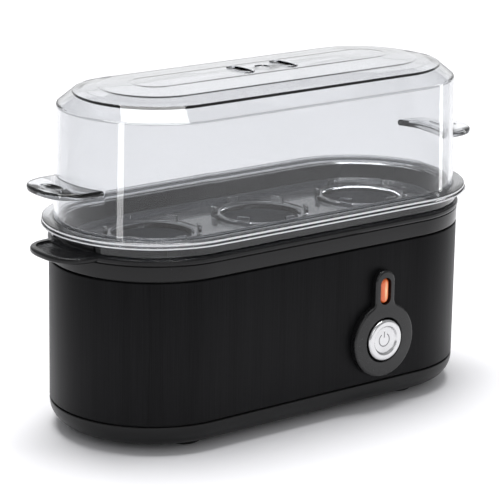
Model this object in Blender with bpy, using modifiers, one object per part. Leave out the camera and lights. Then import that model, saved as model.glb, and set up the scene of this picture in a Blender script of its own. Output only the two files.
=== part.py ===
"""Three-egg steam cooker: a brushed sleeve between two black mouldings, a heated water dish,
a clear egg tray and a clear lid. Metres, +Z up, origin on the table under the middle,
+X along the length and the control panel on the -Y face."""

import math

import bmesh
import bpy
from mathutils import Matrix, Vector

MM = 0.001

# Every long shell follows one racetrack: two half-round ends joined by straight sides.
SLEEVE_LENGTH = 176 * MM
SLEEVE_WIDTH = 76.8 * MM
SLEEVE_HEIGHT = 53.3 * MM
SLEEVE_WALL = 0.8 * MM
SHELL_HEIGHT = 8.7 * MM
SHELL_WALL = 2.4 * MM
STAND_HEIGHT = 2.5 * MM
RING_HEIGHT = 8.1 * MM
RING_LIP = 0.4 * MM
RING_LIP_HEIGHT = 2.4 * MM
LID_HEIGHT = 51.4 * MM
LID_WALL = 1.8 * MM

# Clearances
FIT = 0.3 * MM
SEAM = 0.6 * MM
BUTTON_GAP = 0.4 * MM
BODY_GAP = 0.6 * MM

# Facets in each half-round end, and round a small turned piece
END_STEPS = 20
ROUND_STEPS = 20
PANEL_STEPS = 28

# Lower shell, feet and case screws
SPIGOT_HEIGHT = 5 * MM
FOOT_RADIUS = 6.5 * MM
FOOT_STEM_RADIUS = 1.9 * MM
FOOT_STEM_HEIGHT = 3.4 * MM
FOOT_X = 51.5 * MM
FOOT_Y = 22 * MM
SCREW_RADIUS = 1.4 * MM
SCREW_HEAD_RADIUS = 2.7 * MM
SCREW_HEAD_HEIGHT = 1.8 * MM
SCREW_LENGTH = 15 * MM
SCREW_RECESS = 3.4 * MM
FOOT_EDGE = 0.8 * MM
BOSS_RADIUS = 4.4 * MM
BOSS_HEIGHT = 4.6 * MM
BOSS_ROOT = 0.1 * MM
PILLAR_GAP = 1.4 * MM

# Upper ring: a locating collar, a well, and a ledge that carries the dish
COLLAR_OUTER = 2.5 * MM
WELL_INSET = 4.2 * MM
COLLAR_HEIGHT = 3.9 * MM
LEDGE_INSET = 11 * MM
LEDGE_DROP = 5.4 * MM
LEDGE_THICKNESS = 1.6 * MM
SKIRT_WALL = 2 * MM
SKIRT_DEPTH = 7.7 * MM
EAR_REACH = 14.5 * MM
EAR_HALF_WIDTH = 15.5 * MM
EAR_ROOT_INSET = 3.5 * MM
EAR_ROUNDNESS = 2.6
EAR_FACE_SETBACK = 0.1 * MM

# Heating dish and what hangs under it
GASKET_THICKNESS = 1 * MM
DISH_FLANGE = 0.9 * MM
DISH_WALL = 1.2 * MM
DISH_WALL_GAP = 0.8 * MM
DISH_FLOOR = 1.8 * MM
DISH_DEPTH = 13.9 * MM
DISH_DRAFT = 1.8 * MM
DISH_CORNER = 2 * MM
STUD_RADIUS = 2 * MM
STUD_LENGTH = 11.5 * MM
STUD_X = 20 * MM
BAR_WIDTH = 8 * MM
BAR_THICKNESS = 1.2 * MM
BAR_FOOT = 4.4 * MM
NUT_RADIUS = 3.7 * MM
NUT_HEIGHT = 2.6 * MM
TUBE_RADIUS = 3.2 * MM
TUBE_SPREAD = 11 * MM
TUBE_BACK_X = -38 * MM
TUBE_FRONT_X = 40 * MM
TUBE_BEND = 6 * MM
TUBE_DROP = 3 * MM
TERMINAL_HEIGHT = 8 * MM
THERMOSTAT_RADIUS = 7 * MM
THERMOSTAT_HEIGHT = 9 * MM

# Control panel on the front face
PANEL_X = 28.8 * MM
BUTTON_Z = 28.5 * MM
LENS_Z = 47.7 * MM
BEZEL_RADIUS = 14.5 * MM
BEZEL_NECK_RADIUS = 4.7 * MM
BEZEL_NECK_Z = 51.2 * MM
BEZEL_PROUD = 3 * MM
BEZEL_EDGE = 0.6 * MM
BEZEL_FILLET = 2.5 * MM
BEZEL_BOSS_WALL = 1.1 * MM
BEZEL_BOSS_DEPTH = 9.2 * MM
BUTTON_RADIUS = 8.1 * MM
BUTTON_PROUD = 0.9 * MM
BUTTON_FACE = 2.2 * MM
BUTTON_WALL = 1.2 * MM
BUTTON_DEPTH = 8.5 * MM
BUTTON_TRAVEL = 2.5 * MM
BUTTON_RIM = 0.9 * MM
BUTTON_DISH = 0.5 * MM
STEM_RADIUS = 2.2 * MM
STEM_ENTRY = 0.6 * MM
SPRING_RADIUS = 4 * MM
SPRING_WIRE = 0.35 * MM
SPRING_TURNS = 5
SPRING_STEPS = 10
SWITCH_FLANGE = 1.4 * MM
SWITCH_SIDE = 14 * MM
SWITCH_DEPTH = 15 * MM
LENS_WIDTH = 4.6 * MM
LENS_LENGTH = 10 * MM
LENS_RECESS = 0.1 * MM
LENS_FLANGE = 1 * MM
LENS_FLANGE_BORDER = 1.6 * MM
LAMP_RADIUS = 2 * MM
LAMP_LENGTH = 10 * MM
LAMP_TIP = 0.8 * MM
HOLDER_WALL = 1.2 * MM
LAMP_TAP_X = 1.9 * MM
LAMP_TAP_DROP = 3 * MM

# Cord inlet in the rear face
GLAND_X = 40 * MM
GLAND_Z = 25 * MM
GLAND_BORE = 3.2 * MM
GLAND_RADIUS = 4.7 * MM
GLAND_FLANGE_RADIUS = 6.4 * MM
GLAND_FLANGE = 1.6 * MM
GLAND_NUT = 2.4 * MM
GLAND_TAIL = 1 * MM
GLAND_EDGE = 0.6 * MM

# Egg tray
TRAY_THICKNESS = 1.5 * MM
TRAY_FLANGE = 1 * MM
TRAY_OVERHANG = 2.9 * MM
TRAY_SKIRT_WALL = 1.2 * MM
TRAY_SKIRT_GAP = 0.6 * MM
TRAY_RIM_INSET = 6 * MM
TRAY_DEPTH = 6.6 * MM
TRAY_DRAFT = 3 * MM
TRAY_BEAD = 1 * MM
TRAY_BEAD_HEIGHT = 1.8 * MM
NOTCH_HALF_WIDTH = 13 * MM
EGG_PITCH = 50 * MM
EGG_HOLE_RADIUS = 15.5 * MM
CROWN_RADIUS = 16.6 * MM
CROWN_WALL = 1.6 * MM
CROWN_HEIGHT = 1.3 * MM
TAB_COUNT = 6
TAB_WIDTH = 5 * MM
TAB_HEIGHT = 3.5 * MM
TAB_SETBACK = 0.2 * MM

# Lid
LID_FLANGE = 1.1 * MM
LID_FLANGE_OVERHANG = 2.6 * MM
LID_FOOT_INSET = 1.7 * MM
LID_DRAFT = 1.2 * MM
LID_SHOULDER_WIDTH = 6 * MM
LID_SHOULDER_HEIGHT = 4.8 * MM
LID_CROWN_HEIGHT = 3.5 * MM
LID_CROWN_STEP = 5 * MM
LID_PANEL_INSET = 19 * MM
LID_PANEL_DROP = 0.5 * MM
LID_PANEL_SLOPE = 3 * MM
LID_PANEL_STEP = 8 * MM
LID_EAR_Z = 97.2 * MM
LID_EAR_THICKNESS = 2.4 * MM
LID_EAR_TIP = 12.5 * MM
VENT_X = 10.2 * MM
VENT_LENGTH = 12 * MM
VENT_WIDTH = 4 * MM
VENT_RIM = 0.9 * MM
VENT_RIM_HEIGHT = 0.5 * MM
MARK_RADIUS = 3 * MM
MARK_DEPTH = 0.5 * MM

# Inside wiring
WIRE_RADIUS = 1.1 * MM
BLOCK_LENGTH = 26 * MM
BLOCK_WIDTH = 12 * MM
BLOCK_HEIGHT = 11 * MM
BLOCK_X = 2 * MM
BLOCK_Y = 12 * MM
BLOCK_HOLE_RADIUS = 1.8 * MM
BLOCK_GRIP = 2 * MM
FUSE_RADIUS = 2 * MM
FUSE_LENGTH = 14 * MM
FUSE_NOSE = 1.2 * MM
FUSE_LEAD_RADIUS = 0.6 * MM
FUSE_LEAD = 3 * MM
FUSE_OFFSET = 0.64
BLADE_LENGTH = 6 * MM
BLADE_HALF_WIDTH = 2.4 * MM
BLADE_HALF_THICKNESS = 0.4 * MM
BLADE_ROOT = 1 * MM
TAB_THICKNESS = 0.8 * MM
TONGUE_HALF_WIDTH = 1.6 * MM
TONGUE_LENGTH = 5 * MM
WIRE_LEAD = 3 * MM

# Where each wire passes between its two terminals, in millimetres
WIRE_BENDS = {
    "wire_live": [(-2, -6, 16), (10, -2, 30), (20, 3, 31)],
    "wire_heater": [(38, -1, 25), (44.5, -8.5, 26)],
    "wire_link": [(38, 9, 24), (15, 2, 27)],
    "wire_neutral": [(-32.5, 4.5, 53.2), (-35, 5, 47), (-33, 10, 34), (-16, 31, 19), (6, 31, 11.5)],
    "wire_earth": [(-22, 20, 38), (-10, 23, 25), (0, 26, 15)],
    "wire_lamp": [(32, -16, 42)],
    "wire_lamp_neutral": [(17, -20, 36), (15, -15, 22), (11.5, -5, 12)],
}

# Worked out from the sizes above
END_RADIUS = SLEEVE_WIDTH / 2
STRAIGHT_HALF = SLEEVE_LENGTH / 2 - END_RADIUS
SHELL_BOTTOM_Z = STAND_HEIGHT
SHELL_TOP_Z = SHELL_BOTTOM_Z + SHELL_HEIGHT
SLEEVE_BOTTOM_Z = SHELL_TOP_Z + SEAM
SLEEVE_TOP_Z = SLEEVE_BOTTOM_Z + SLEEVE_HEIGHT
RING_BOTTOM_Z = SLEEVE_TOP_Z + SEAM
RING_TOP_Z = RING_BOTTOM_Z + RING_HEIGHT
COLLAR_TOP_Z = RING_TOP_Z + COLLAR_HEIGHT
LEDGE_TOP_Z = RING_TOP_Z - LEDGE_DROP
LEDGE_BOTTOM_Z = LEDGE_TOP_Z - LEDGE_THICKNESS
DISH_FLANGE_Z = LEDGE_TOP_Z + GASKET_THICKNESS + 2 * FIT
DISH_WALL_INSET = LEDGE_INSET + DISH_WALL_GAP
DISH_BOTTOM_Z = DISH_FLANGE_Z + DISH_FLANGE - DISH_DEPTH
TUBE_Z = DISH_BOTTOM_Z - FIT - TUBE_RADIUS
TUBE_END_Z = TUBE_Z - TUBE_BEND - TUBE_DROP
BAR_TOP_Z = TUBE_Z - TUBE_RADIUS - FIT
TRAY_FLANGE_Z = COLLAR_TOP_Z + FIT
TRAY_TOP_Z = TRAY_FLANGE_Z + TRAY_FLANGE
TRAY_FLOOR_Z = TRAY_FLANGE_Z - TRAY_DEPTH
LID_BOTTOM_Z = TRAY_TOP_Z + FIT
LID_TOP_Z = LID_BOTTOM_Z + LID_HEIGHT
FRONT_Y = -SLEEVE_WIDTH / 2
REAR_Y = SLEEVE_WIDTH / 2
BEZEL_FACE_Y = FRONT_Y - BEZEL_PROUD
BORE_RADIUS = BUTTON_RADIUS + BUTTON_GAP
BEZEL_BOSS_RADIUS = BORE_RADIUS + BEZEL_BOSS_WALL
BEZEL_BOSS_Y = FRONT_Y + BEZEL_BOSS_DEPTH
SWITCH_FRONT_Y = BEZEL_BOSS_Y + FIT
STEM_END_Y = SWITCH_FRONT_Y + STEM_ENTRY
BUTTON_FACE_Y = BEZEL_FACE_Y - BUTTON_PROUD
PILLAR_RADIUS = (DISH_WALL_INSET - DISH_WALL_GAP - SHELL_WALL - PILLAR_GAP) / 2
PILLAR_ARM = END_RADIUS - SHELL_WALL - PILLAR_GAP - PILLAR_RADIUS
BOSS_TOP_Z = SHELL_BOTTOM_Z + SHELL_WALL + BOSS_HEIGHT
SCREW_SEAT_Z = SHELL_BOTTOM_Z + SCREW_RECESS
EAR_ROOT_X = SLEEVE_LENGTH / 2 - EAR_ROOT_INSET
BLOCK_Z = SHELL_BOTTOM_Z + SHELL_WALL + FIT
PILLARS = [
    (sx * (STRAIGHT_HALF + PILLAR_ARM * math.cos(math.pi / 4)), sy * PILLAR_ARM * math.sin(math.pi / 4))
    for sx in (-1, 1)
    for sy in (-1, 1)
]


def clear_scene():
    for item in list(bpy.data.objects):
        bpy.data.objects.remove(item, do_unlink=True)


def new_collection(name):
    group = bpy.data.collections.new(name)
    bpy.context.scene.collection.children.link(group)
    return group


def material(name, colour, roughness, metallic=0.0, alpha=1.0, transmission=0.0):
    made = bpy.data.materials.new(name)
    made.use_nodes = True
    shader = made.node_tree.nodes["Principled BSDF"]
    shader.inputs["Base Color"].default_value = (*colour, 1)
    shader.inputs["Roughness"].default_value = roughness
    shader.inputs["Metallic"].default_value = metallic
    shader.inputs["Alpha"].default_value = alpha
    shader.inputs["Transmission Weight"].default_value = transmission
    made.diffuse_color = (*colour, alpha)
    return made


def put(name, bm, look, group):
    """Makes an object of a bmesh whose faces are then turned outwards."""
    bmesh.ops.remove_doubles(bm, verts=bm.verts, dist=1e-6)
    bmesh.ops.recalc_face_normals(bm, faces=bm.faces)
    mesh = bpy.data.meshes.new(name)
    bm.to_mesh(mesh)
    bm.free()
    mesh.shade_smooth()
    mesh.set_sharp_from_angle(angle=math.radians(35))
    made = bpy.data.objects.new(name, mesh)
    if look:
        mesh.materials.append(look)
    group.objects.link(made)
    return made


def as_cutter(item):
    item.hide_render = True
    item.display_type = "WIRE"
    return item


def boolean(item, tool, operation):
    step = item.modifiers.new(tool.name, "BOOLEAN")
    step.operation = operation
    step.object = tool
    step.solver = "EXACT"


def racetrack(profile, closed=True):
    """Sweeps a section round the racetrack outline. A point is (offset from the sleeve's outline,
    height), and a profile that isn't closed begins and ends on the middle line."""
    bm = bmesh.new()
    points = [bm.verts.new((STRAIGHT_HALF, -(END_RADIUS + offset), z)) for offset, z in profile]
    pairs = list(zip(points, points[1:]))
    if closed:
        pairs.append((points[-1], points[0]))
    start = [bm.edges.new(pair) for pair in pairs]
    turned = bmesh.ops.spin(
        bm,
        geom=points + start,
        cent=(STRAIGHT_HALF, 0, 0),
        axis=(0, 0, 1),
        angle=math.pi,
        steps=END_STEPS,
    )
    end = [part for part in turned["geom_last"] if isinstance(part, bmesh.types.BMEdge)]
    for loop in (start, end):
        drawn = bmesh.ops.extrude_edge_only(bm, edges=loop)
        for part in drawn["geom"]:
            if isinstance(part, bmesh.types.BMVert):
                part.co.x = 0
    bmesh.ops.remove_doubles(bm, verts=bm.verts, dist=1e-6)
    bmesh.ops.mirror(bm, geom=bm.verts[:] + bm.edges[:] + bm.faces[:], merge_dist=1e-6, axis="X")
    return bm


def on_axis(offset_z):
    """The point of a section on the middle line at this height."""
    return (-END_RADIUS, offset_z)


def cylinder(bm, radius, bottom, top, x=0.0, y=0.0, steps=ROUND_STEPS):
    middle = Matrix.Translation((x, y, (bottom + top) / 2))
    return bmesh.ops.create_cone(
        bm,
        cap_ends=True,
        segments=steps,
        radius1=radius,
        radius2=radius,
        depth=top - bottom,
        matrix=middle,
    )["verts"]


def box(bm, low, high):
    low, high = Vector(low), Vector(high)
    sides = high - low
    place = Matrix.Translation((low + high) / 2) @ Matrix.Diagonal((*sides, 1))
    return bmesh.ops.create_cube(bm, size=1, matrix=place)["verts"]


def prism(outline, bottom, top):
    """An upright solid on a flat outline."""
    bm = bmesh.new()
    face = bm.faces.new([bm.verts.new((x, y, bottom)) for x, y in outline])
    raised = bmesh.ops.extrude_face_region(bm, geom=[face])["geom"]
    moved = [part for part in raised if isinstance(part, bmesh.types.BMVert)]
    bmesh.ops.translate(bm, verts=moved, vec=(0, 0, top - bottom))
    return bm


def turned(name, profile, look, group, place):
    """A turned piece: the profile is (radius, height) down its outer side, and the Screw closes it."""
    mesh = bpy.data.meshes.new(name)
    points = [(radius, 0, z) for radius, z in profile]
    mesh.from_pydata(points, [(i, i + 1) for i in range(len(points) - 1)], [])
    made = bpy.data.objects.new(name, mesh)
    made.matrix_world = place
    mesh.materials.append(look)
    step = made.modifiers.new("turn", "SCREW")
    step.steps = ROUND_STEPS
    step.render_steps = ROUND_STEPS
    step.use_merge_vertices = True
    step.merge_threshold = 1e-6
    group.objects.link(made)
    return made


def facing_front(x, y, z):
    """The place of a turned piece whose axis points out of the front face."""
    return Matrix.Translation((x, y, z)) @ Matrix.Rotation(math.pi / 2, 4, "X")


def facing_rear(x, y, z):
    return Matrix.Translation((x, y, z)) @ Matrix.Rotation(-math.pi / 2, 4, "X")


def tube(name, points, radius, look, group, sides=2):
    curve = bpy.data.curves.new(name, "CURVE")
    curve.dimensions = "3D"
    curve.bevel_depth = radius
    curve.bevel_resolution = sides
    curve.use_fill_caps = True
    line = curve.splines.new("POLY")
    line.points.add(len(points) - 1)
    for point, place in zip(line.points, points):
        point.co = (*place, 1)
    curve.materials.append(look)
    made = bpy.data.objects.new(name, curve)
    group.objects.link(made)
    return made


def smooth_route(corners, per_leg=5):
    """Points on one Catmull-Rom curve through the given corners."""
    ends = [2 * corners[0] - corners[1], *corners, 2 * corners[-1] - corners[-2]]
    route = [corners[0]]
    for a, b, c, d in zip(ends, ends[1:], ends[2:], ends[3:]):
        for k in range(1, per_leg + 1):
            t = k / per_leg
            pull = (c - a) * t + (2 * a - 5 * b + 4 * c - d) * t**2 + (3 * b - a - 3 * c + d) * t**3
            route.append(b + pull / 2)
    return route


def ear_outline(side, inner_x, root_x, reach, half_width, steps=16):
    """A rounded grip in plan: straight from inner_x to root_x, then round to the tip."""
    outline = [(side * inner_x, -half_width)] if inner_x < root_x else []
    for k in range(steps + 1):
        angle = -math.pi / 2 + math.pi * k / steps
        out = reach * math.cos(angle) ** (2 / EAR_ROUNDNESS) if 0 < k < steps else 0.0
        across = math.copysign(abs(math.sin(angle)) ** (2 / EAR_ROUNDNESS), math.sin(angle))
        outline.append((side * (root_x + out), half_width * across))
    return outline + [(side * inner_x, half_width)] if inner_x < root_x else outline


def slot_outline(half_length, half_width, steps=8):
    """A round-ended slot in plan, long along Y."""
    run = half_length - half_width
    outline = []
    for end in (1, -1):
        for k in range(steps + 1):
            angle = math.pi * k / steps
            across, along = half_width * math.cos(angle), run + half_width * math.sin(angle)
            outline.append((end * across, end * along))
    return outline


def arc(centre, radius, first, last, steps):
    """Points (offset, height) on an arc of a section."""
    angles = [first + (last - first) * k / steps for k in range(steps + 1)]
    return [(centre[0] + radius * math.cos(t), centre[1] + radius * math.sin(t)) for t in angles]


def foot_places():
    return [(sx * FOOT_X, sy * FOOT_Y) for sx in (-1, 1) for sy in (-1, 1)]


def make_lower_shell(group, tools, look):
    middle = (-SHELL_HEIGHT, SHELL_TOP_Z)
    outer = arc(middle, SHELL_HEIGHT, 0, -math.pi / 2, 6)
    inner = arc(middle, SHELL_HEIGHT - SHELL_WALL, -math.pi / 2, 0, 5)
    floor_z = SHELL_BOTTOM_Z + SHELL_WALL
    spigot = -(SLEEVE_WALL + FIT)
    top = SHELL_TOP_Z + SPIGOT_HEIGHT
    inside = [on_axis(floor_z), *inner, (-SHELL_WALL, top), (spigot, top), (spigot, SHELL_TOP_Z)]
    profile = [*inside, *outer, on_axis(SHELL_BOTTOM_Z)]
    shell = put("lower_shell", racetrack(profile, closed=False), look, group)
    bosses, bores, recesses = bmesh.new(), bmesh.new(), bmesh.new()
    for x, y in PILLARS:
        cylinder(bosses, BOSS_RADIUS, floor_z - BOSS_ROOT, BOSS_TOP_Z, x, y)
        cylinder(bores, SCREW_RADIUS + FIT, 0, BOSS_TOP_Z + FIT, x, y)
        cylinder(recesses, SCREW_HEAD_RADIUS + FIT, 0, SCREW_SEAT_Z, x, y)
    for x, y in foot_places():
        cylinder(bores, FOOT_STEM_RADIUS + FIT, 0, BOSS_TOP_Z, x, y)
    boolean(shell, as_cutter(put("shell_bosses", bosses, None, tools)), "UNION")
    boolean(shell, as_cutter(put("shell_bores", bores, None, tools)), "DIFFERENCE")
    boolean(shell, as_cutter(put("screw_recesses", recesses, None, tools)), "DIFFERENCE")


def make_feet(group, look):
    disc_top = SHELL_BOTTOM_Z - FIT
    profile = [
        (0, disc_top + FOOT_STEM_HEIGHT),
        (FOOT_STEM_RADIUS, disc_top + FOOT_STEM_HEIGHT),
        (FOOT_STEM_RADIUS, disc_top),
        (FOOT_RADIUS, disc_top),
        (FOOT_RADIUS, FOOT_EDGE),
        (FOOT_RADIUS - FOOT_EDGE, 0),
        (0, 0),
    ]
    for x, y in foot_places():
        name = f"foot_{side_name(x)}_{face_name(y)}"
        turned(name, profile, look, group, Matrix.Translation((x, y, 0)))


def side_name(x):
    return "left" if x < 0 else "right"


def face_name(y):
    return "front" if y < 0 else "rear"


def make_case_screws(group, look):
    head_top = SCREW_SEAT_Z - FIT
    profile = [
        (0, head_top + SCREW_LENGTH),
        (SCREW_RADIUS, head_top + SCREW_LENGTH),
        (SCREW_RADIUS, head_top),
        (SCREW_HEAD_RADIUS, head_top),
        (SCREW_HEAD_RADIUS, head_top - SCREW_HEAD_HEIGHT),
        (0, head_top - SCREW_HEAD_HEIGHT),
    ]
    for x, y in PILLARS:
        name = f"case_screw_{side_name(x)}_{face_name(y)}"
        turned(name, profile, look, group, Matrix.Translation((x, y, 0)))


def make_sleeve(group, tools, look):
    profile = [
        (0, SLEEVE_TOP_Z),
        (-SLEEVE_WALL, SLEEVE_TOP_Z),
        (-SLEEVE_WALL, SLEEVE_BOTTOM_Z),
        (0, SLEEVE_BOTTOM_Z),
    ]
    sleeve = put("outer_sleeve", racetrack(profile), look, group)
    depth = 4 * SLEEVE_WALL
    hole = bmesh.new()
    cylinder(hole, BEZEL_BOSS_RADIUS + FIT, -depth, depth, steps=PANEL_STEPS)
    boolean(sleeve, panel_cutter("switch_hole", hole, tools, BUTTON_Z), "DIFFERENCE")
    slot = prism(slot_outline(LENS_LENGTH / 2 + FIT, LENS_WIDTH / 2 + FIT), -depth, depth)
    boolean(sleeve, panel_cutter("lens_hole", slot, tools, LENS_Z), "DIFFERENCE")
    inlet = bmesh.new()
    cylinder(inlet, GLAND_RADIUS + FIT, -depth, depth)
    bmesh.ops.transform(inlet, matrix=facing_rear(GLAND_X, REAR_Y, GLAND_Z), verts=inlet.verts)
    boolean(sleeve, as_cutter(put("inlet_hole", inlet, None, tools)), "DIFFERENCE")


def panel_cutter(name, bm, tools, z):
    """A cutter modelled lying down, stood on the front face at this height."""
    bmesh.ops.transform(bm, matrix=facing_front(PANEL_X, FRONT_Y, z), verts=bm.verts)
    return as_cutter(put(name, bm, None, tools))


def make_upper_ring(group, tools, look):
    lip_z = RING_TOP_Z - RING_LIP_HEIGHT
    spigot = SLEEVE_WALL + FIT
    skirt_z = RING_BOTTOM_Z - SKIRT_DEPTH
    profile = [
        (0, RING_BOTTOM_Z),
        (0, lip_z),
        (RING_LIP, lip_z + RING_LIP),
        (RING_LIP, RING_TOP_Z - RING_LIP),
        (0, RING_TOP_Z),
        (-COLLAR_OUTER, RING_TOP_Z),
        (-COLLAR_OUTER, COLLAR_TOP_Z),
        (-WELL_INSET, COLLAR_TOP_Z),
        (-WELL_INSET, LEDGE_TOP_Z),
        (-LEDGE_INSET, LEDGE_TOP_Z),
        (-LEDGE_INSET, LEDGE_BOTTOM_Z),
        (-spigot - SKIRT_WALL, LEDGE_BOTTOM_Z),
        (-spigot - SKIRT_WALL, skirt_z),
        (-spigot, skirt_z),
        (-spigot, RING_BOTTOM_Z),
    ]
    ring = put("upper_ring", racetrack(profile), look, group)
    for side in (-1, 1):
        outline = ear_outline(side, EAR_ROOT_X, EAR_ROOT_X, EAR_REACH, EAR_HALF_WIDTH)
        ear = prism(outline, lip_z + EAR_FACE_SETBACK, RING_TOP_Z - EAR_FACE_SETBACK)
        boolean(ring, as_cutter(put(f"ring_ear_{side_name(side)}", ear, None, tools)), "UNION")
    pillars, bores = bmesh.new(), bmesh.new()
    foot_z = BOSS_TOP_Z + FIT
    bore_top = SCREW_SEAT_Z + SCREW_LENGTH + 4 * FIT
    for x, y in PILLARS:
        cylinder(pillars, PILLAR_RADIUS, foot_z, LEDGE_BOTTOM_Z + LEDGE_THICKNESS / 2, x, y)
        cylinder(bores, SCREW_RADIUS + FIT, foot_z - FIT, bore_top, x, y)
    boolean(ring, as_cutter(put("ring_pillars", pillars, None, tools)), "UNION")
    boolean(ring, as_cutter(put("pillar_bores", bores, None, tools)), "DIFFERENCE")
    boolean(ring, as_cutter(put("lamp_room", lamp_room(), None, tools)), "DIFFERENCE")


def lamp_room():
    """The space that the ring's skirt leaves free round the lens and its lamp."""
    across = max(LENS_WIDTH / 2 + LENS_FLANGE_BORDER, LAMP_RADIUS + FIT + HOLDER_WALL) + BODY_GAP
    top = LENS_Z + LENS_LENGTH / 2 + LENS_FLANGE_BORDER + BODY_GAP
    depth = SLEEVE_WALL + LENS_FLANGE + 2 * (LAMP_RADIUS + HOLDER_WALL + BODY_GAP)
    room = bmesh.new()
    box(room, (PANEL_X - across, FRONT_Y, BUTTON_Z), (PANEL_X + across, FRONT_Y + depth, top))
    return room


def make_dish(group, tools, look):
    top = DISH_FLANGE_Z + DISH_FLANGE
    floor_z = DISH_BOTTOM_Z + DISH_FLOOR
    foot = DISH_WALL_INSET + DISH_DRAFT
    profile = [
        on_axis(DISH_BOTTOM_Z),
        (-foot - DISH_CORNER, DISH_BOTTOM_Z),
        (-foot, DISH_BOTTOM_Z + DISH_CORNER),
        (-DISH_WALL_INSET, DISH_FLANGE_Z),
        (-WELL_INSET - BODY_GAP, DISH_FLANGE_Z),
        (-WELL_INSET - BODY_GAP, top),
        (-DISH_WALL_INSET - DISH_WALL, top),
        (-foot - DISH_WALL, floor_z + DISH_CORNER),
        (-foot - DISH_WALL - DISH_CORNER, floor_z),
        on_axis(floor_z),
    ]
    dish = put("heating_dish", racetrack(profile, closed=False), look, group)
    studs = bmesh.new()
    for side in (-1, 1):
        cylinder(studs, STUD_RADIUS, DISH_BOTTOM_Z - STUD_LENGTH, floor_z - DISH_FLOOR / 2, side * STUD_X)
    boolean(dish, as_cutter(put("dish_studs", studs, None, tools)), "UNION")


def make_gasket(group, look):
    low = LEDGE_TOP_Z + FIT
    outer, inner = -WELL_INSET - BODY_GAP, -LEDGE_INSET
    corners = [(outer, low), (outer, low + GASKET_THICKNESS), (inner, low + GASKET_THICKNESS), (inner, low)]
    put("dish_gasket", racetrack(corners), look, group)


def make_clamps(group, tools, steel, brass):
    """Two bars under the dish pull it down on the ring's ledge and hold the heater up against it."""
    leg = END_RADIUS - DISH_WALL_INSET + BODY_GAP
    toe = leg + BAR_THICKNESS + BAR_FOOT
    foot_z = LEDGE_BOTTOM_Z - FIT
    half = [(leg, BAR_TOP_Z), (leg, foot_z), (toe, foot_z), (toe, foot_z - BAR_THICKNESS)]
    half += [(leg + BAR_THICKNESS, foot_z - BAR_THICKNESS), (leg + BAR_THICKNESS, BAR_TOP_Z - BAR_THICKNESS)]
    outline = half + [(-y, z) for y, z in reversed(half)]
    nut_top = BAR_TOP_Z - BAR_THICKNESS - FIT
    for side in (-1, 1):
        bar = prism(outline, -BAR_WIDTH / 2, BAR_WIDTH / 2)
        upright = Matrix(((0, 0, 1, side * STUD_X), (1, 0, 0, 0), (0, 1, 0, 0), (0, 0, 0, 1)))
        bmesh.ops.transform(bar, matrix=upright, verts=bar.verts)
        made = put(f"clamp_bar_{side_name(side)}", bar, steel, group)
        hole = bmesh.new()
        cylinder(hole, STUD_RADIUS + FIT, nut_top - 2 * NUT_HEIGHT, BAR_TOP_Z + FIT, side * STUD_X)
        cutter = as_cutter(put(f"stud_hole_{side_name(side)}", hole, None, tools))
        boolean(made, cutter, "DIFFERENCE")
        nut = bmesh.new()
        cylinder(nut, NUT_RADIUS, nut_top - NUT_HEIGHT, nut_top, side * STUD_X, steps=6)
        boolean(put(f"clamp_nut_{side_name(side)}", nut, brass, group), cutter, "DIFFERENCE")


def make_heater(group, metal, ceramic):
    drop_x = TUBE_FRONT_X + TUBE_BEND
    front = [Vector((drop_x, -TUBE_SPREAD, TUBE_END_Z))]
    for k in range(5):
        angle = math.pi / 8 * k
        x = TUBE_FRONT_X + TUBE_BEND * math.cos(angle)
        front.append(Vector((x, -TUBE_SPREAD, TUBE_Z - TUBE_BEND + TUBE_BEND * math.sin(angle))))
    back = []
    for k in range(1, 12):
        angle = -math.pi / 2 - math.pi * k / 12
        x = TUBE_BACK_X + TUBE_SPREAD * math.cos(angle)
        back.append(Vector((x, TUBE_SPREAD * math.sin(angle), TUBE_Z)))
    start = Vector((TUBE_BACK_X, -TUBE_SPREAD, TUBE_Z))
    rear = [Vector((p.x, -p.y, p.z)) for p in reversed([*front, start])]
    tube("heating_element", [*front, start, *back, *rear], TUBE_RADIUS, metal, group, sides=3)
    bush_z = TUBE_END_Z - FIT
    bush_radius, pin_radius = TUBE_RADIUS - BODY_GAP, WIRE_RADIUS
    profile = [
        (0, bush_z),
        (bush_radius, bush_z),
        (bush_radius, bush_z - TERMINAL_HEIGHT / 2),
        (pin_radius, bush_z - TERMINAL_HEIGHT / 2),
        (pin_radius, bush_z - TERMINAL_HEIGHT),
        (0, bush_z - TERMINAL_HEIGHT),
    ]
    for side in (-1, 1):
        place = Matrix.Translation((drop_x, side * TUBE_SPREAD, 0))
        turned(f"element_terminal_{face_name(side)}", profile, ceramic, group, place)


def make_thermostat(group, tools, look):
    top = DISH_BOTTOM_Z - FIT
    body = bmesh.new()
    cylinder(body, THERMOSTAT_RADIUS, top - THERMOSTAT_HEIGHT, top)
    made = put("thermostat", body, look, group)
    blades = bmesh.new()
    for side in (-1, 1):
        x = side * THERMOSTAT_RADIUS / 2
        root_z = top - THERMOSTAT_HEIGHT
        low = (x - BLADE_HALF_THICKNESS, -BLADE_HALF_WIDTH, root_z - BLADE_LENGTH)
        box(blades, low, (x + BLADE_HALF_THICKNESS, BLADE_HALF_WIDTH, root_z + BLADE_ROOT))
    boolean(made, as_cutter(put("thermostat_blades", blades, None, tools)), "UNION")


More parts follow.
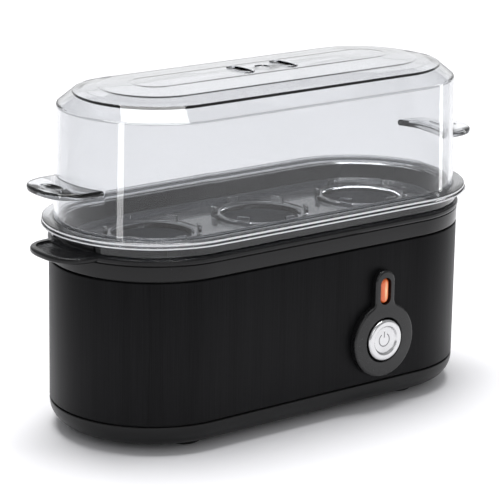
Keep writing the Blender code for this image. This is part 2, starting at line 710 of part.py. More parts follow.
def make_fuse(group, look):
    """A capsule beside the thermostat, with one lead that reaches it."""
    centre_y = THERMOSTAT_RADIUS * FUSE_OFFSET
    reach = math.sqrt(THERMOSTAT_RADIUS**2 - (centre_y - FUSE_LEAD_RADIUS) ** 2) + FIT
    profile = [
        (0, 0),
        (FUSE_LEAD_RADIUS, 0),
        (FUSE_LEAD_RADIUS, -FUSE_LEAD),
        (FUSE_RADIUS, -FUSE_LEAD - FUSE_NOSE),
        (FUSE_RADIUS, FUSE_NOSE - FUSE_LENGTH),
        (FUSE_RADIUS - FUSE_NOSE, -FUSE_LENGTH),
        (0, -FUSE_LENGTH),
    ]
    height = DISH_BOTTOM_Z - FIT - FUSE_RADIUS
    place = Matrix.Translation((-reach, centre_y, height)) @ Matrix.Rotation(math.pi / 2, 4, "Y")
    turned("thermal_fuse", profile, look, group, place)
    return Vector((-reach - FUSE_LENGTH, centre_y, height))


def make_earth_tab(group, tools, look):
    top = BAR_TOP_Z - BAR_THICKNESS - 2 * FIT - NUT_HEIGHT
    low = top - TAB_THICKNESS
    end_y = NUT_RADIUS + TONGUE_LENGTH
    tab, tongue, hole = bmesh.new(), bmesh.new(), bmesh.new()
    cylinder(tab, NUT_RADIUS, low, top, -STUD_X)
    made = put("earth_tab", tab, look, group)
    skin = TAB_THICKNESS / 10
    near = (-STUD_X - TONGUE_HALF_WIDTH, NUT_RADIUS - TONGUE_HALF_WIDTH, low + skin)
    box(tongue, near, (-STUD_X + TONGUE_HALF_WIDTH, end_y, top - skin))
    cylinder(hole, STUD_RADIUS + FIT, low - FIT, top + FIT, -STUD_X)
    boolean(made, as_cutter(put("tab_tongue", tongue, None, tools)), "UNION")
    boolean(made, as_cutter(put("tab_hole", hole, None, tools)), "DIFFERENCE")
    return Vector((-STUD_X, end_y, (low + top) / 2))


def keyhole_outline(steps=30):
    """A round plate with a narrow neck above it and a fillet where they meet."""
    fillet, neck, disc = BEZEL_FILLET, BEZEL_NECK_RADIUS, BEZEL_RADIUS
    corner = (neck + fillet, math.sqrt((disc + fillet) ** 2 - (neck + fillet) ** 2))
    lean = math.atan2(corner[1], corner[0])
    right = []
    for k in range(steps + 1):
        angle = -math.pi / 2 + (lean + math.pi / 2) * k / steps
        right.append((disc * math.cos(angle), disc * math.sin(angle)))
    for k in range(1, 5):
        angle = lean + math.pi - lean * k / 4
        right.append((corner[0] + fillet * math.cos(angle), corner[1] + fillet * math.sin(angle)))
    rise = BEZEL_NECK_Z - BUTTON_Z
    for k in range(9):
        angle = math.pi / 2 * k / 8
        right.append((neck * math.cos(angle), rise + neck * math.sin(angle)))
    return right + [(-x, z) for x, z in reversed(right[1:-1])]


def make_bezel(group, tools, look):
    """Its faces are measured out of the sleeve's front face."""
    plate = prism(keyhole_outline(), FIT, BEZEL_PROUD)
    bmesh.ops.transform(plate, matrix=facing_front(PANEL_X, FRONT_Y, BUTTON_Z), verts=plate.verts)
    bezel = put("control_bezel", plate, look, group)
    edge = bezel.modifiers.new("edge", "BEVEL")
    edge.width = BEZEL_EDGE
    edge.segments = 1
    edge.limit_method = "ANGLE"
    edge.angle_limit = math.radians(60)
    boss, bore = bmesh.new(), bmesh.new()
    cylinder(boss, BEZEL_BOSS_RADIUS, -BEZEL_BOSS_DEPTH, BEZEL_PROUD / 2, steps=PANEL_STEPS)
    cylinder(bore, BORE_RADIUS, -2 * BEZEL_BOSS_DEPTH, 2 * BEZEL_PROUD, steps=PANEL_STEPS)
    boolean(bezel, panel_cutter("bezel_boss", boss, tools, BUTTON_Z), "UNION")
    boolean(bezel, panel_cutter("button_bore", bore, tools, BUTTON_Z), "DIFFERENCE")
    outline = slot_outline(LENS_LENGTH / 2 + FIT, LENS_WIDTH / 2 + FIT)
    slot = prism(outline, -BEZEL_PROUD, 2 * BEZEL_PROUD)
    boolean(bezel, panel_cutter("lens_slot", slot, tools, LENS_Z), "DIFFERENCE")


def make_button(group, look):
    face = BEZEL_PROUD + BUTTON_PROUD
    skirt = BUTTON_RADIUS - BUTTON_WALL
    stem_end = FRONT_Y - STEM_END_Y
    profile = [
        (0, face - BUTTON_DISH),
        (BUTTON_RADIUS - 3 * BUTTON_RIM, face - BUTTON_DISH),
        (BUTTON_RADIUS - 2.2 * BUTTON_RIM, face),
        (BUTTON_RADIUS - BUTTON_RIM, face),
        (BUTTON_RADIUS, face - BUTTON_RIM),
        (BUTTON_RADIUS, face - BUTTON_DEPTH),
        (skirt, face - BUTTON_DEPTH),
        (skirt, face - BUTTON_FACE),
        (STEM_RADIUS, face - BUTTON_FACE),
        (STEM_RADIUS, stem_end),
        (0, stem_end),
    ]
    turned("power_button", profile, look, group, facing_front(PANEL_X, FRONT_Y, BUTTON_Z))


def make_button_spring(group, look):
    front = BUTTON_FACE_Y + BUTTON_FACE + FIT + SPRING_WIRE
    rear = SWITCH_FRONT_Y - FIT - SPRING_WIRE
    steps = SPRING_TURNS * SPRING_STEPS
    points = []
    for k in range(steps + 1):
        angle = 2 * math.pi * k / SPRING_STEPS
        x = PANEL_X + SPRING_RADIUS * math.cos(angle)
        z = BUTTON_Z + SPRING_RADIUS * math.sin(angle)
        points.append((x, front + (rear - front) * k / steps, z))
    tube("button_spring", points, SPRING_WIRE, look, group)


def make_switch(group, tools, look):
    front = facing_front(PANEL_X, SWITCH_FRONT_Y, BUTTON_Z)
    flange = bmesh.new()
    cylinder(flange, BEZEL_BOSS_RADIUS, -SWITCH_FLANGE, 0)
    bmesh.ops.transform(flange, matrix=front, verts=flange.verts)
    switch = put("switch_body", flange, look, group)
    half = SWITCH_SIDE / 2
    back_y = SWITCH_FRONT_Y + SWITCH_DEPTH
    body, blades, hole = bmesh.new(), bmesh.new(), bmesh.new()
    low = (PANEL_X - half, SWITCH_FRONT_Y + SWITCH_FLANGE / 2, BUTTON_Z - half)
    box(body, low, (PANEL_X + half, back_y, BUTTON_Z + half))
    for side in (-1, 1):
        x = PANEL_X + side * half / 2
        low = (x - BLADE_HALF_THICKNESS, back_y - BLADE_ROOT, BUTTON_Z - BLADE_HALF_WIDTH)
        high = (x + BLADE_HALF_THICKNESS, back_y + BLADE_LENGTH, BUTTON_Z + BLADE_HALF_WIDTH)
        box(blades, low, high)
    depth = STEM_ENTRY + BUTTON_TRAVEL + 4 * FIT
    cylinder(hole, STEM_RADIUS + FIT, -depth, depth)
    bmesh.ops.transform(hole, matrix=front, verts=hole.verts)
    boolean(switch, as_cutter(put("switch_case", body, None, tools)), "UNION")
    boolean(switch, as_cutter(put("switch_blades", blades, None, tools)), "UNION")
    boolean(switch, as_cutter(put("stem_hole", hole, None, tools)), "DIFFERENCE")
    return [Vector((PANEL_X + side * half / 2, back_y + BLADE_LENGTH, BUTTON_Z)) for side in (-1, 1)]


def make_lens_and_lamp(group, tools, amber, glass, black):
    flange_front = -SLEEVE_WALL - FIT
    flange_back = flange_front - LENS_FLANGE
    outline = slot_outline(LENS_LENGTH / 2, LENS_WIDTH / 2)
    stub = prism(outline, flange_back + LENS_FLANGE / 2, BEZEL_PROUD - LENS_RECESS)
    bmesh.ops.transform(stub, matrix=facing_front(PANEL_X, FRONT_Y, LENS_Z), verts=stub.verts)
    lens = put("indicator_lens", stub, amber, group)
    wide = slot_outline(LENS_LENGTH / 2 + LENS_FLANGE_BORDER, LENS_WIDTH / 2 + LENS_FLANGE_BORDER)
    flange = prism(wide, flange_back, flange_front)
    boolean(lens, panel_cutter("lens_flange", flange, tools, LENS_Z), "UNION")
    rim_y = FRONT_Y - flange_back + FIT
    lamp_y = rim_y + LAMP_RADIUS + FIT
    half = LAMP_LENGTH / 2
    profile = [
        (0, half),
        (LAMP_RADIUS - LAMP_TIP, half),
        (LAMP_RADIUS, half - LAMP_TIP),
        (LAMP_RADIUS, -half),
        (0, -half),
    ]
    turned("neon_lamp", profile, glass, group, Matrix.Translation((PANEL_X, lamp_y, LENS_Z)))
    space = Vector((LAMP_RADIUS + FIT, 0, half + FIT))
    wall = Vector((HOLDER_WALL, 0, HOLDER_WALL))
    front = Vector((PANEL_X, rim_y, LENS_Z))
    back_y = rim_y + 2 * (LAMP_RADIUS + FIT)
    back = Vector((PANEL_X, back_y, LENS_Z))
    case, hollow = bmesh.new(), bmesh.new()
    box(case, front - space - wall, back + space + wall + Vector((0, HOLDER_WALL, 0)))
    box(hollow, front - space - Vector((0, FIT, 0)), back + space)
    holder = put("lamp_holder", case, black, group)
    boolean(holder, as_cutter(put("holder_hollow", hollow, None, tools)), "DIFFERENCE")
    return Vector((PANEL_X, back_y + HOLDER_WALL, LENS_Z))


def make_gland(group, look):
    top = FIT + GLAND_FLANGE
    tail = -(SLEEVE_WALL + FIT + GLAND_NUT + GLAND_TAIL)
    profile = [
        (GLAND_BORE, top),
        (GLAND_FLANGE_RADIUS - GLAND_EDGE, top),
        (GLAND_FLANGE_RADIUS, top - GLAND_EDGE),
        (GLAND_FLANGE_RADIUS, FIT),
        (GLAND_RADIUS, FIT),
        (GLAND_RADIUS, tail),
        (GLAND_BORE, tail),
        (GLAND_BORE, top),
    ]
    place = facing_rear(GLAND_X, REAR_Y, GLAND_Z)
    turned("cord_gland", profile, look, group, place)
    near = -SLEEVE_WALL - FIT
    far = near - GLAND_NUT
    inner, outer = GLAND_RADIUS + FIT, GLAND_FLANGE_RADIUS
    section = [(inner, near), (outer, near), (outer, far), (inner, far), (inner, near)]
    turned("gland_nut", section, look, group, place)


def make_terminal_block(group, tools, look):
    low = Vector((BLOCK_X - BLOCK_LENGTH / 2, BLOCK_Y - BLOCK_WIDTH / 2, BLOCK_Z))
    body = bmesh.new()
    box(body, low, low + Vector((BLOCK_LENGTH, BLOCK_WIDTH, BLOCK_HEIGHT)))
    block = put("terminal_block", body, look, group)
    across, wells = bmesh.new(), bmesh.new()
    bore_z = BLOCK_Z + BLOCK_HEIGHT / 2
    places = [BLOCK_X + k * BLOCK_LENGTH / 3 for k in (-1, 0, 1)]
    for x in places:
        run = cylinder(across, BLOCK_HOLE_RADIUS, -BLOCK_WIDTH, BLOCK_WIDTH, steps=12)
        bmesh.ops.transform(across, matrix=facing_front(x, BLOCK_Y, bore_z), verts=run)
        cylinder(wells, BLOCK_HOLE_RADIUS + FIT, bore_z, BLOCK_Z + 2 * BLOCK_HEIGHT, x, BLOCK_Y, steps=12)
    boolean(block, as_cutter(put("block_bores", across, None, tools)), "DIFFERENCE")
    boolean(block, as_cutter(put("block_wells", wells, None, tools)), "DIFFERENCE")
    return [Vector((x, BLOCK_Y, bore_z)) for x in places]


def make_wires(group, block, blades, fuse, earth, lamp, looks):
    """Each wire leaves both of its terminals straight, a clearance away from the metal."""
    ahead, behind, left = (Vector(v) for v in ((0, -1, 0), (0, 1, 0), (-1, 0, 0)))
    up, down = Vector((0, 0, 1)), Vector((0, 0, -1))
    grip = BLOCK_WIDTH / 2 - BLOCK_GRIP
    pin = Vector((TUBE_FRONT_X + TUBE_BEND, TUBE_SPREAD, TUBE_END_Z - FIT - TERMINAL_HEIGHT))
    pin_front = Vector((pin.x, -pin.y, pin.z))
    blade = Vector((THERMOSTAT_RADIUS / 2, 0, DISH_BOTTOM_Z - FIT - THERMOSTAT_HEIGHT - BLADE_LENGTH))
    side = blades[1] + Vector((0, -BLADE_LENGTH / 2, BLADE_HALF_WIDTH))
    taps = [lamp + Vector((sx * LAMP_TAP_X, 0, -LAMP_TAP_DROP)) for sx in (-1, 1)]
    runs = [
        ("wire_live", block[0] + grip * ahead, ahead, blades[0], behind),
        ("wire_heater", blades[1], behind, pin_front, down),
        ("wire_link", pin, down, blade, down),
        ("wire_neutral", fuse, left, block[2] + grip * behind, behind),
        ("wire_earth", earth, behind, block[1] + grip * behind, behind),
        ("wire_lamp", taps[1], behind, side, up),
        ("wire_lamp_neutral", taps[0], behind, block[2] + grip * ahead, ahead),
    ]
    for name, first, out, last, back in runs:
        near, far = first + FIT * out, last + FIT * back
        middle = [Vector(point) * MM for point in WIRE_BENDS[name]]
        lead = [near + k * WIRE_LEAD * out for k in (1, 2)]
        tail = [far + k * WIRE_LEAD * back for k in (2, 1)]
        route = smooth_route([lead[-1], *middle, tail[0]])
        tube(name, [near, lead[0], *route, tail[-1], far], WIRE_RADIUS, looks[name], group)


def shell_inside(profile, wall):
    """The profile moved inwards by the wall, with its corners met again."""
    lines = []
    for (x0, z0), (x1, z1) in zip(profile, profile[1:]):
        run = math.hypot(x1 - x0, z1 - z0)
        normal = (-(z1 - z0) / run, (x1 - x0) / run)
        lines.append(((x0 + wall * normal[0], z0 + wall * normal[1]), (x1 - x0, z1 - z0)))
    inner = [lines[0][0]]
    for (p, u), (q, v) in zip(lines, lines[1:]):
        cross = u[0] * v[1] - u[1] * v[0]
        t = ((q[0] - p[0]) * v[1] - (q[1] - p[1]) * v[0]) / cross
        inner.append((p[0] + t * u[0], p[1] + t * u[1]))
    return inner


def make_tray(group, tools, look):
    rim, foot = -TRAY_RIM_INSET, -TRAY_RIM_INSET - TRAY_DRAFT
    skirt_out = -TRAY_SKIRT_GAP
    skirt_in = skirt_out - TRAY_SKIRT_WALL
    skirt_z = RING_TOP_Z + 2 * FIT
    bead_out = -LID_FOOT_INSET - LID_WALL - BUTTON_GAP
    floor_top = TRAY_FLOOR_Z + TRAY_THICKNESS
    profile = [
        on_axis(TRAY_FLOOR_Z),
        (foot + TRAY_THICKNESS, TRAY_FLOOR_Z),
        (rim + TRAY_THICKNESS, TRAY_FLANGE_Z),
        (skirt_in, TRAY_FLANGE_Z),
        (skirt_in, skirt_z),
        (skirt_out, skirt_z),
        (skirt_out, TRAY_FLANGE_Z),
        (TRAY_OVERHANG, TRAY_FLANGE_Z),
        (TRAY_OVERHANG, TRAY_TOP_Z),
        (bead_out, TRAY_TOP_Z),
        (bead_out, TRAY_TOP_Z + TRAY_BEAD_HEIGHT),
        (bead_out - TRAY_BEAD, TRAY_TOP_Z + TRAY_BEAD_HEIGHT),
        (bead_out - TRAY_BEAD, TRAY_TOP_Z),
        (rim, TRAY_TOP_Z),
        (foot, floor_top),
        on_axis(floor_top),
    ]
    tray = put("egg_tray", racetrack(profile, closed=False), look, group)
    rims, tabs, holes, notches = bmesh.new(), bmesh.new(), bmesh.new(), bmesh.new()
    tab_outer = CROWN_RADIUS + CROWN_WALL
    for x in (-EGG_PITCH, 0, EGG_PITCH):
        cylinder(rims, tab_outer, floor_top - TRAY_THICKNESS / 2, floor_top + CROWN_HEIGHT, x, steps=36)
        cylinder(holes, EGG_HOLE_RADIUS, TRAY_FLOOR_Z - FIT, TRAY_TOP_Z, x, steps=36)
        for k in range(TAB_COUNT):
            low = (CROWN_RADIUS, -TAB_WIDTH / 2, floor_top + CROWN_HEIGHT / 2)
            high = (tab_outer - TAB_SETBACK, TAB_WIDTH / 2, floor_top + TAB_HEIGHT)
            tab = box(tabs, low, high)
            turn = Matrix.Rotation(2 * math.pi * (k + 0.5) / TAB_COUNT, 4, "Z")
            bmesh.ops.transform(tabs, matrix=Matrix.Translation((x, 0, 0)) @ turn, verts=tab)
    wall_end = SLEEVE_LENGTH / 2 - TRAY_RIM_INSET + TRAY_THICKNESS + FIT / 2
    for side in (-1, 1):
        near, far = sorted((side * wall_end, side * SLEEVE_LENGTH))
        low = (near, -NOTCH_HALF_WIDTH, skirt_z - FIT)
        box(notches, low, (far, NOTCH_HALF_WIDTH, TRAY_FLANGE_Z + FIT / 3))
    boolean(tray, as_cutter(put("crown_rims", rims, None, tools)), "UNION")
    boolean(tray, as_cutter(put("crown_tabs", tabs, None, tools)), "UNION")
    boolean(tray, as_cutter(put("egg_holes", holes, None, tools)), "DIFFERENCE")
    boolean(tray, as_cutter(put("skirt_notches", notches, None, tools)), "DIFFERENCE")


def on_crown(offset, edge, drop=0):
    """The point at this offset on the lid's crowned top, which rises from its edge to the middle line."""
    share = (END_RADIUS + offset) / (END_RADIUS + edge)
    return (offset, LID_TOP_Z - LID_CROWN_HEIGHT * share**2 - drop)


def make_lid(group, tools, look):
    flange_top = LID_BOTTOM_Z + LID_FLANGE
    shoulder_z = LID_TOP_Z - LID_CROWN_HEIGHT
    neck = -LID_FOOT_INSET - LID_DRAFT
    shoulder = neck - LID_SHOULDER_WIDTH
    panel_edge = -LID_PANEL_INSET - LID_PANEL_SLOPE
    slopes = (shoulder - LID_CROWN_STEP, -LID_PANEL_INSET)
    floor = (panel_edge, panel_edge - LID_PANEL_STEP)
    skin = [
        (-LID_FOOT_INSET, LID_BOTTOM_Z),
        (neck, shoulder_z - LID_SHOULDER_HEIGHT),
        (shoulder, shoulder_z),
        *(on_crown(offset, shoulder) for offset in slopes),
        *(on_crown(offset, shoulder, LID_PANEL_DROP) for offset in floor),
        on_axis(LID_TOP_Z - LID_PANEL_DROP),
    ]
    flange = [on_axis(LID_BOTTOM_Z), (LID_FLANGE_OVERHANG, LID_BOTTOM_Z), (LID_FLANGE_OVERHANG, flange_top)]
    slope = LID_DRAFT * LID_FLANGE / (shoulder_z - LID_SHOULDER_HEIGHT - LID_BOTTOM_Z)
    outside = [*flange, (-LID_FOOT_INSET - slope, flange_top), *skin[1:]]
    lid = put("lid", racetrack(outside, closed=False), look, group)
    for side in (-1, 1):
        inner_x = STRAIGHT_HALF + END_RADIUS / 2
        outline = ear_outline(side, inner_x, EAR_ROOT_X, LID_EAR_TIP + EAR_ROOT_INSET, EAR_HALF_WIDTH)
        ear = prism(outline, LID_EAR_Z - LID_EAR_THICKNESS, LID_EAR_Z)
        boolean(lid, as_cutter(put(f"lid_ear_{side_name(side)}", ear, None, tools)), "UNION")
    panel_z = LID_TOP_Z - LID_PANEL_DROP
    rims, vents, mark = [], [], bmesh.new()
    for side in (-1, 1):
        wide = slot_outline(VENT_LENGTH / 2 + VENT_RIM, VENT_WIDTH / 2 + VENT_RIM)
        rim = prism(wide, panel_z - LID_WALL / 2, panel_z + VENT_RIM_HEIGHT)
        slot = slot_outline(VENT_LENGTH / 2, VENT_WIDTH / 2)
        vent = prism(slot, panel_z - 2 * LID_WALL, panel_z + LID_WALL)
        for bm in (rim, vent):
            bmesh.ops.translate(bm, verts=bm.verts, vec=(side * VENT_X, 0, 0))
        rims.append(as_cutter(put(f"vent_rim_{side_name(side)}", rim, None, tools)))
        vents.append(as_cutter(put(f"vent_{side_name(side)}", vent, None, tools)))
    cylinder(mark, MARK_RADIUS, panel_z - MARK_DEPTH, panel_z + LID_WALL)
    inner = shell_inside(skin, LID_WALL)
    inner[0] = (inner[0][0], LID_BOTTOM_Z - FIT)
    inner[-1] = on_axis(panel_z - LID_WALL)
    hollow = racetrack([on_axis(LID_BOTTOM_Z - FIT), *inner], closed=False)
    for rim in rims:
        boolean(lid, rim, "UNION")
    boolean(lid, as_cutter(put("lid_hollow", hollow, None, tools)), "DIFFERENCE")
    for vent in vents:
        boolean(lid, vent, "DIFFERENCE")
    boolean(lid, as_cutter(put("lid_mark", mark, None, tools)), "DIFFERENCE")


def main():
    clear_scene()
    parts = new_collection("egg_cooker")
    tools = new_collection("cutters")
    satin = material("satin black plastic", (0.022, 0.022, 0.023), 0.42)
    brushed = material("black brushed metal", (0.012, 0.012, 0.013), 0.38, metallic=0.6)
    coating = material("dark non-stick coating", (0.04, 0.045, 0.055), 0.3, metallic=0.3)
    clear = material("clear plastic", (0.86, 0.88, 0.9), 0.05, alpha=0.35, transmission=0.9)
    rubber = material("black rubber", (0.015, 0.015, 0.015), 0.8)
    silver = material("satin silver", (0.75, 0.75, 0.76), 0.28, metallic=0.9)
    steel = material("zinc plated steel", (0.55, 0.56, 0.58), 0.4, metallic=1.0)
    brass = material("brass", (0.6, 0.45, 0.16), 0.35, metallic=1.0)
    amber = material("amber lens", (0.9, 0.2, 0.05), 0.2, transmission=0.5)
    glass = material("lamp glass", (0.9, 0.85, 0.8), 0.05, transmission=0.9)
    ceramic = material("white ceramic", (0.8, 0.79, 0.75), 0.5)
    silicone = material("grey silicone", (0.3, 0.3, 0.3), 0.6)
    black = material("black nylon", (0.03, 0.03, 0.03), 0.5)
    brown = material("brown insulation", (0.1, 0.04, 0.015), 0.5)
    blue = material("blue insulation", (0.02, 0.06, 0.3), 0.5)
    green = material("green insulation", (0.05, 0.3, 0.05), 0.5)

    make_lower_shell(parts, tools, satin)
    make_feet(parts, rubber)
    make_case_screws(parts, steel)
    make_sleeve(parts, tools, brushed)
    make_upper_ring(parts, tools, satin)
    make_dish(parts, tools, coating)
    make_gasket(parts, silicone)
    make_clamps(parts, tools, steel, brass)
    make_heater(parts, steel, ceramic)
    make_thermostat(parts, tools, ceramic)
    fuse_end = make_fuse(parts, silver)
    earth_end = make_earth_tab(parts, tools, brass)
    make_bezel(parts, tools, satin)
    make_button(parts, silver)
    make_button_spring(parts, steel)
    blades = make_switch(parts, tools, black)
    lamp_end = make_lens_and_lamp(parts, tools, amber, glass, black)
    make_gland(parts, rubber)
    block = make_terminal_block(parts, tools, ceramic)
    looks = {
        "wire_live": brown,
        "wire_heater": brown,
        "wire_link": brown,
        "wire_neutral": blue,
        "wire_earth": green,
        "wire_lamp": brown,
        "wire_lamp_neutral": blue,
    }
    make_wires(parts, block, blades, fuse_end, earth_end, lamp_end, looks)
    make_tray(parts, tools, clear)
    make_lid(parts, tools, clear)


main()
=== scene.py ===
"""Visual model of a three-egg cooker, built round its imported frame.

Every shell follows one racetrack: two half-round ends joined by straight sides. A section of such
a shell is drawn as (distance out from the sleeve's outline, height) in millimetres, turned round
one end, drawn back to the middle and mirrored.
"""

import math

import bmesh
import bpy
from mathutils import Matrix, Vector


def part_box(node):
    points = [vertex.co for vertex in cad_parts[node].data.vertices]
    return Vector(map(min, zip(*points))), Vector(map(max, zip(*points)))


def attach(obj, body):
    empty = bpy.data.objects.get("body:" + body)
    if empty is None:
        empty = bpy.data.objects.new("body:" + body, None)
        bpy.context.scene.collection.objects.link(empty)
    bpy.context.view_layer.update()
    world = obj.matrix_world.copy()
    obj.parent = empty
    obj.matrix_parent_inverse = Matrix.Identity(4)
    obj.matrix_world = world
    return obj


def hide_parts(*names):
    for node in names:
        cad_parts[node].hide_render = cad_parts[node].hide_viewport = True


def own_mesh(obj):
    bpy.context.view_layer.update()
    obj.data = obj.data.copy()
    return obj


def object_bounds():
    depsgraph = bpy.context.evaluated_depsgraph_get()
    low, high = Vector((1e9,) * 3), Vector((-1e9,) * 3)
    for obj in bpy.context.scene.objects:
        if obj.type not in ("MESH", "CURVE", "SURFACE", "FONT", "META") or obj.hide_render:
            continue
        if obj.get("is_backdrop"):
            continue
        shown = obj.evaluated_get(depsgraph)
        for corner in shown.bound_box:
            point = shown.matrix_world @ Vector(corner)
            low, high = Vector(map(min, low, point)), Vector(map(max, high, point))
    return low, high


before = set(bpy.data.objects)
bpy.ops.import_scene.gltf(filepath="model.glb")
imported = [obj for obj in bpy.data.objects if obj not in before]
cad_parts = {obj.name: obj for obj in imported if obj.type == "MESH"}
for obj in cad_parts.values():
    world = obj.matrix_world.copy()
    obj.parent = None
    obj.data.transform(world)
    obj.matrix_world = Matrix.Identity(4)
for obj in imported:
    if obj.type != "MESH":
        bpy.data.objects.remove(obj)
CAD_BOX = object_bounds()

bl_info = {
    "name": "Egg cooker",
    "version": (1, 0, 0),
    "blender": (4, 5, 0),
    "location": "3D View > Sidebar > Egg cooker",
    "description": "Builds the shells, controls, clear tray and clear lid of a three-egg cooker",
    "category": "Add Mesh",
}

MM = 0.001


def millimetres(point):
    return Vector(point) / MM


def node_box(name):
    low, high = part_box(name)
    return millimetres(low), millimetres(high)


def node_middle(name):
    return [(low + high) / 2 for low, high in zip(*node_box(name))]


# The sleeve gives the racetrack that all the shells follow
SLEEVE_LOW, SLEEVE_HIGH = node_box("outer_sleeve")
END_RADIUS = SLEEVE_HIGH.y
STRAIGHT = SLEEVE_HIGH.x - END_RADIUS
SLEEVE_WALL = 0.8
FIT = 0.3

SHELL_LOW, SHELL_HIGH = node_box("lower_shell")
RING_HIGH = node_box("upper_ring")[1]
DISH_LOW, DISH_HIGH = node_box("heating_dish")
TRAY_LOW, TRAY_HIGH = node_box("egg_tray")
LID_LOW, LID_HIGH = node_box("lid")
PLATE_LOW, PLATE_HIGH = node_box("control_bezel")
BUTTON_LOW, BUTTON_HIGH = node_box("power_button")
LENS_LOW, LENS_HIGH = node_box("indicator_lens")
SPRING_LOW, SPRING_HIGH = node_box("button_spring")
GLAND_LOW, GLAND_HIGH = node_box("cord_gland")
SCREW_NAMES = [f"case_screw_{side}_{face}" for side in ("left", "right") for face in ("front", "rear")]
FOOT_NAMES = [f"foot_{side}_{face}" for side in ("left", "right") for face in ("front", "rear")]


# ---------------------------------------------------------------------------
# Modelling by hand: drawing, turning, cutting
# ---------------------------------------------------------------------------

# How near two points count as one, when a line is drawn, a shell is closed and its halves are joined
NEAR, MERGE, MIRROR_MERGE = 0.001, 0.002, 0.005
SMOOTH_ANGLE = 32


def deselect():
    if bpy.context.object and bpy.context.object.mode != "OBJECT":
        bpy.ops.object.mode_set(mode="OBJECT")
    bpy.ops.object.select_all(action="DESELECT")


def pick(piece):
    """Makes this the one selected and active object."""
    deselect()
    piece.select_set(True)
    bpy.context.view_layer.objects.active = piece


def edit(piece):
    pick(piece)
    bpy.ops.object.mode_set(mode="EDIT")
    bpy.ops.mesh.select_mode(type="VERT")


def leave_edit():
    bpy.ops.object.mode_set(mode="OBJECT")


def select_where(piece, test):
    """Selects the vertices of the edited piece that pass the test, and the edges and faces between."""
    shape = bmesh.from_edit_mesh(piece.data)
    for part in (*shape.verts, *shape.edges, *shape.faces):
        part.select = False
    for vertex in shape.verts:
        vertex.select = test(vertex.co / MM)
    shape.select_flush(True)
    bmesh.update_edit_mesh(piece.data)


def draw_line(name, points, closed=False):
    """Draws a chain of edges by extruding one vertex from point to point, in millimetres."""
    deselect()
    bpy.ops.mesh.primitive_plane_add(size=MM)
    line = bpy.context.object
    line.name = name
    line.data.name = name
    edit(line)
    bpy.ops.mesh.select_all(action="SELECT")
    bpy.ops.mesh.merge(type="CENTER")
    bpy.ops.transform.translate(value=Vector(points[0]) * MM)
    stops = [*points, points[0]] if closed else points
    for here, there in zip(stops, stops[1:]):
        step = (Vector(there) - Vector(here)) * MM
        bpy.ops.mesh.extrude_region_move(TRANSFORM_OT_translate={"value": step})
    bpy.ops.mesh.select_all(action="SELECT")
    bpy.ops.mesh.remove_doubles(threshold=NEAR * MM)
    return line


def close_up():
    """Merges what meets and turns every face outwards."""
    bpy.ops.mesh.select_all(action="SELECT")
    bpy.ops.mesh.remove_doubles(threshold=MERGE * MM)
    bpy.ops.mesh.select_all(action="SELECT")
    bpy.ops.mesh.normals_make_consistent(inside=False)
    leave_edit()


def smooth(piece, angle=SMOOTH_ANGLE):
    pick(piece)
    bpy.ops.object.shade_smooth_by_angle(angle=math.radians(angle))
    return piece


def apply_modifier(piece, kind, **settings):
    pick(piece)
    step = piece.modifiers.new(kind.lower(), kind)
    for name, value in settings.items():
        setattr(step, name, value)
    bpy.ops.object.modifier_apply(modifier=step.name)


def rounded(corners, steps=5):
    """The points of a section whose corners (offset, height, radius) are rounded by arcs. Where two
    arcs would meet on a short side, both are made smaller."""
    flat = [Vector((corner[0], corner[1])) for corner in corners]
    count = len(flat)
    sides = [(flat[(k + 1) % count] - flat[k]) for k in range(count)]
    halves = [(-sides[k - 1]).angle(sides[k], math.pi) / 2 for k in range(count)]
    reaches = [corner[2] / math.tan(half) for corner, half in zip(corners, halves)]
    shares = []
    for k in range(count):
        wanted = (reaches[k - 1] + reaches[k], reaches[k] + reaches[(k + 1) % count])
        room = (sides[k - 1].length, sides[k].length)
        shares.append(min([1] + [0.98 * length / reach for length, reach in zip(room, wanted) if reach]))
    points = []
    for k, here in enumerate(flat):
        reach = reaches[k] * shares[k]
        if not reach:
            points.append(tuple(here))
            continue
        radius = reach * math.tan(halves[k])
        first, last = -sides[k - 1].normalized() * reach, sides[k].normalized() * reach
        middle = (first + last).normalized() * math.hypot(reach, radius)
        start, end = first - middle, last - middle
        sweep = start.angle_signed(end)
        for turn in range(steps + 1):
            points.append(tuple(here + middle + Matrix.Rotation(-sweep * turn / steps, 2) @ start))
    return points


def swept(name, section, closed=True, steps=48):
    """A shell whose section runs round the racetrack outline."""
    drawn = [(STRAIGHT, -(END_RADIUS + offset), height) for offset, height in section]
    shell = draw_line(name, drawn, closed)
    bpy.ops.mesh.spin(steps=steps, angle=-math.pi, center=(STRAIGHT * MM, 0, 0), axis=(0, 0, 1))
    back = {"value": (-STRAIGHT * MM, 0, 0)}
    bpy.ops.mesh.extrude_region_move(TRANSFORM_OT_translate=back)
    select_where(shell, lambda p: abs(p.x - STRAIGHT) < NEAR and p.y < NEAR)
    bpy.ops.mesh.extrude_region_move(TRANSFORM_OT_translate=back)
    bpy.ops.mesh.select_all(action="SELECT")
    bpy.ops.mesh.remove_doubles(threshold=MERGE * MM)
    leave_edit()
    apply_modifier(shell, "MIRROR", use_axis=(True, False, False), merge_threshold=MIRROR_MERGE * MM)
    edit(shell)
    close_up()
    return smooth(shell)


def on_middle(height):
    """The point of a section on the racetrack's middle line."""
    return (-END_RADIUS, height)


def turned(name, section, steps=48):
    """A piece turned round the Z axis from its section of (radius, height)."""
    piece = draw_line(name, [(radius, 0, height) for radius, height in section])
    bpy.ops.mesh.spin(steps=steps, angle=2 * math.pi, center=(0, 0, 0), axis=(0, 0, 1))
    close_up()
    return smooth(piece)


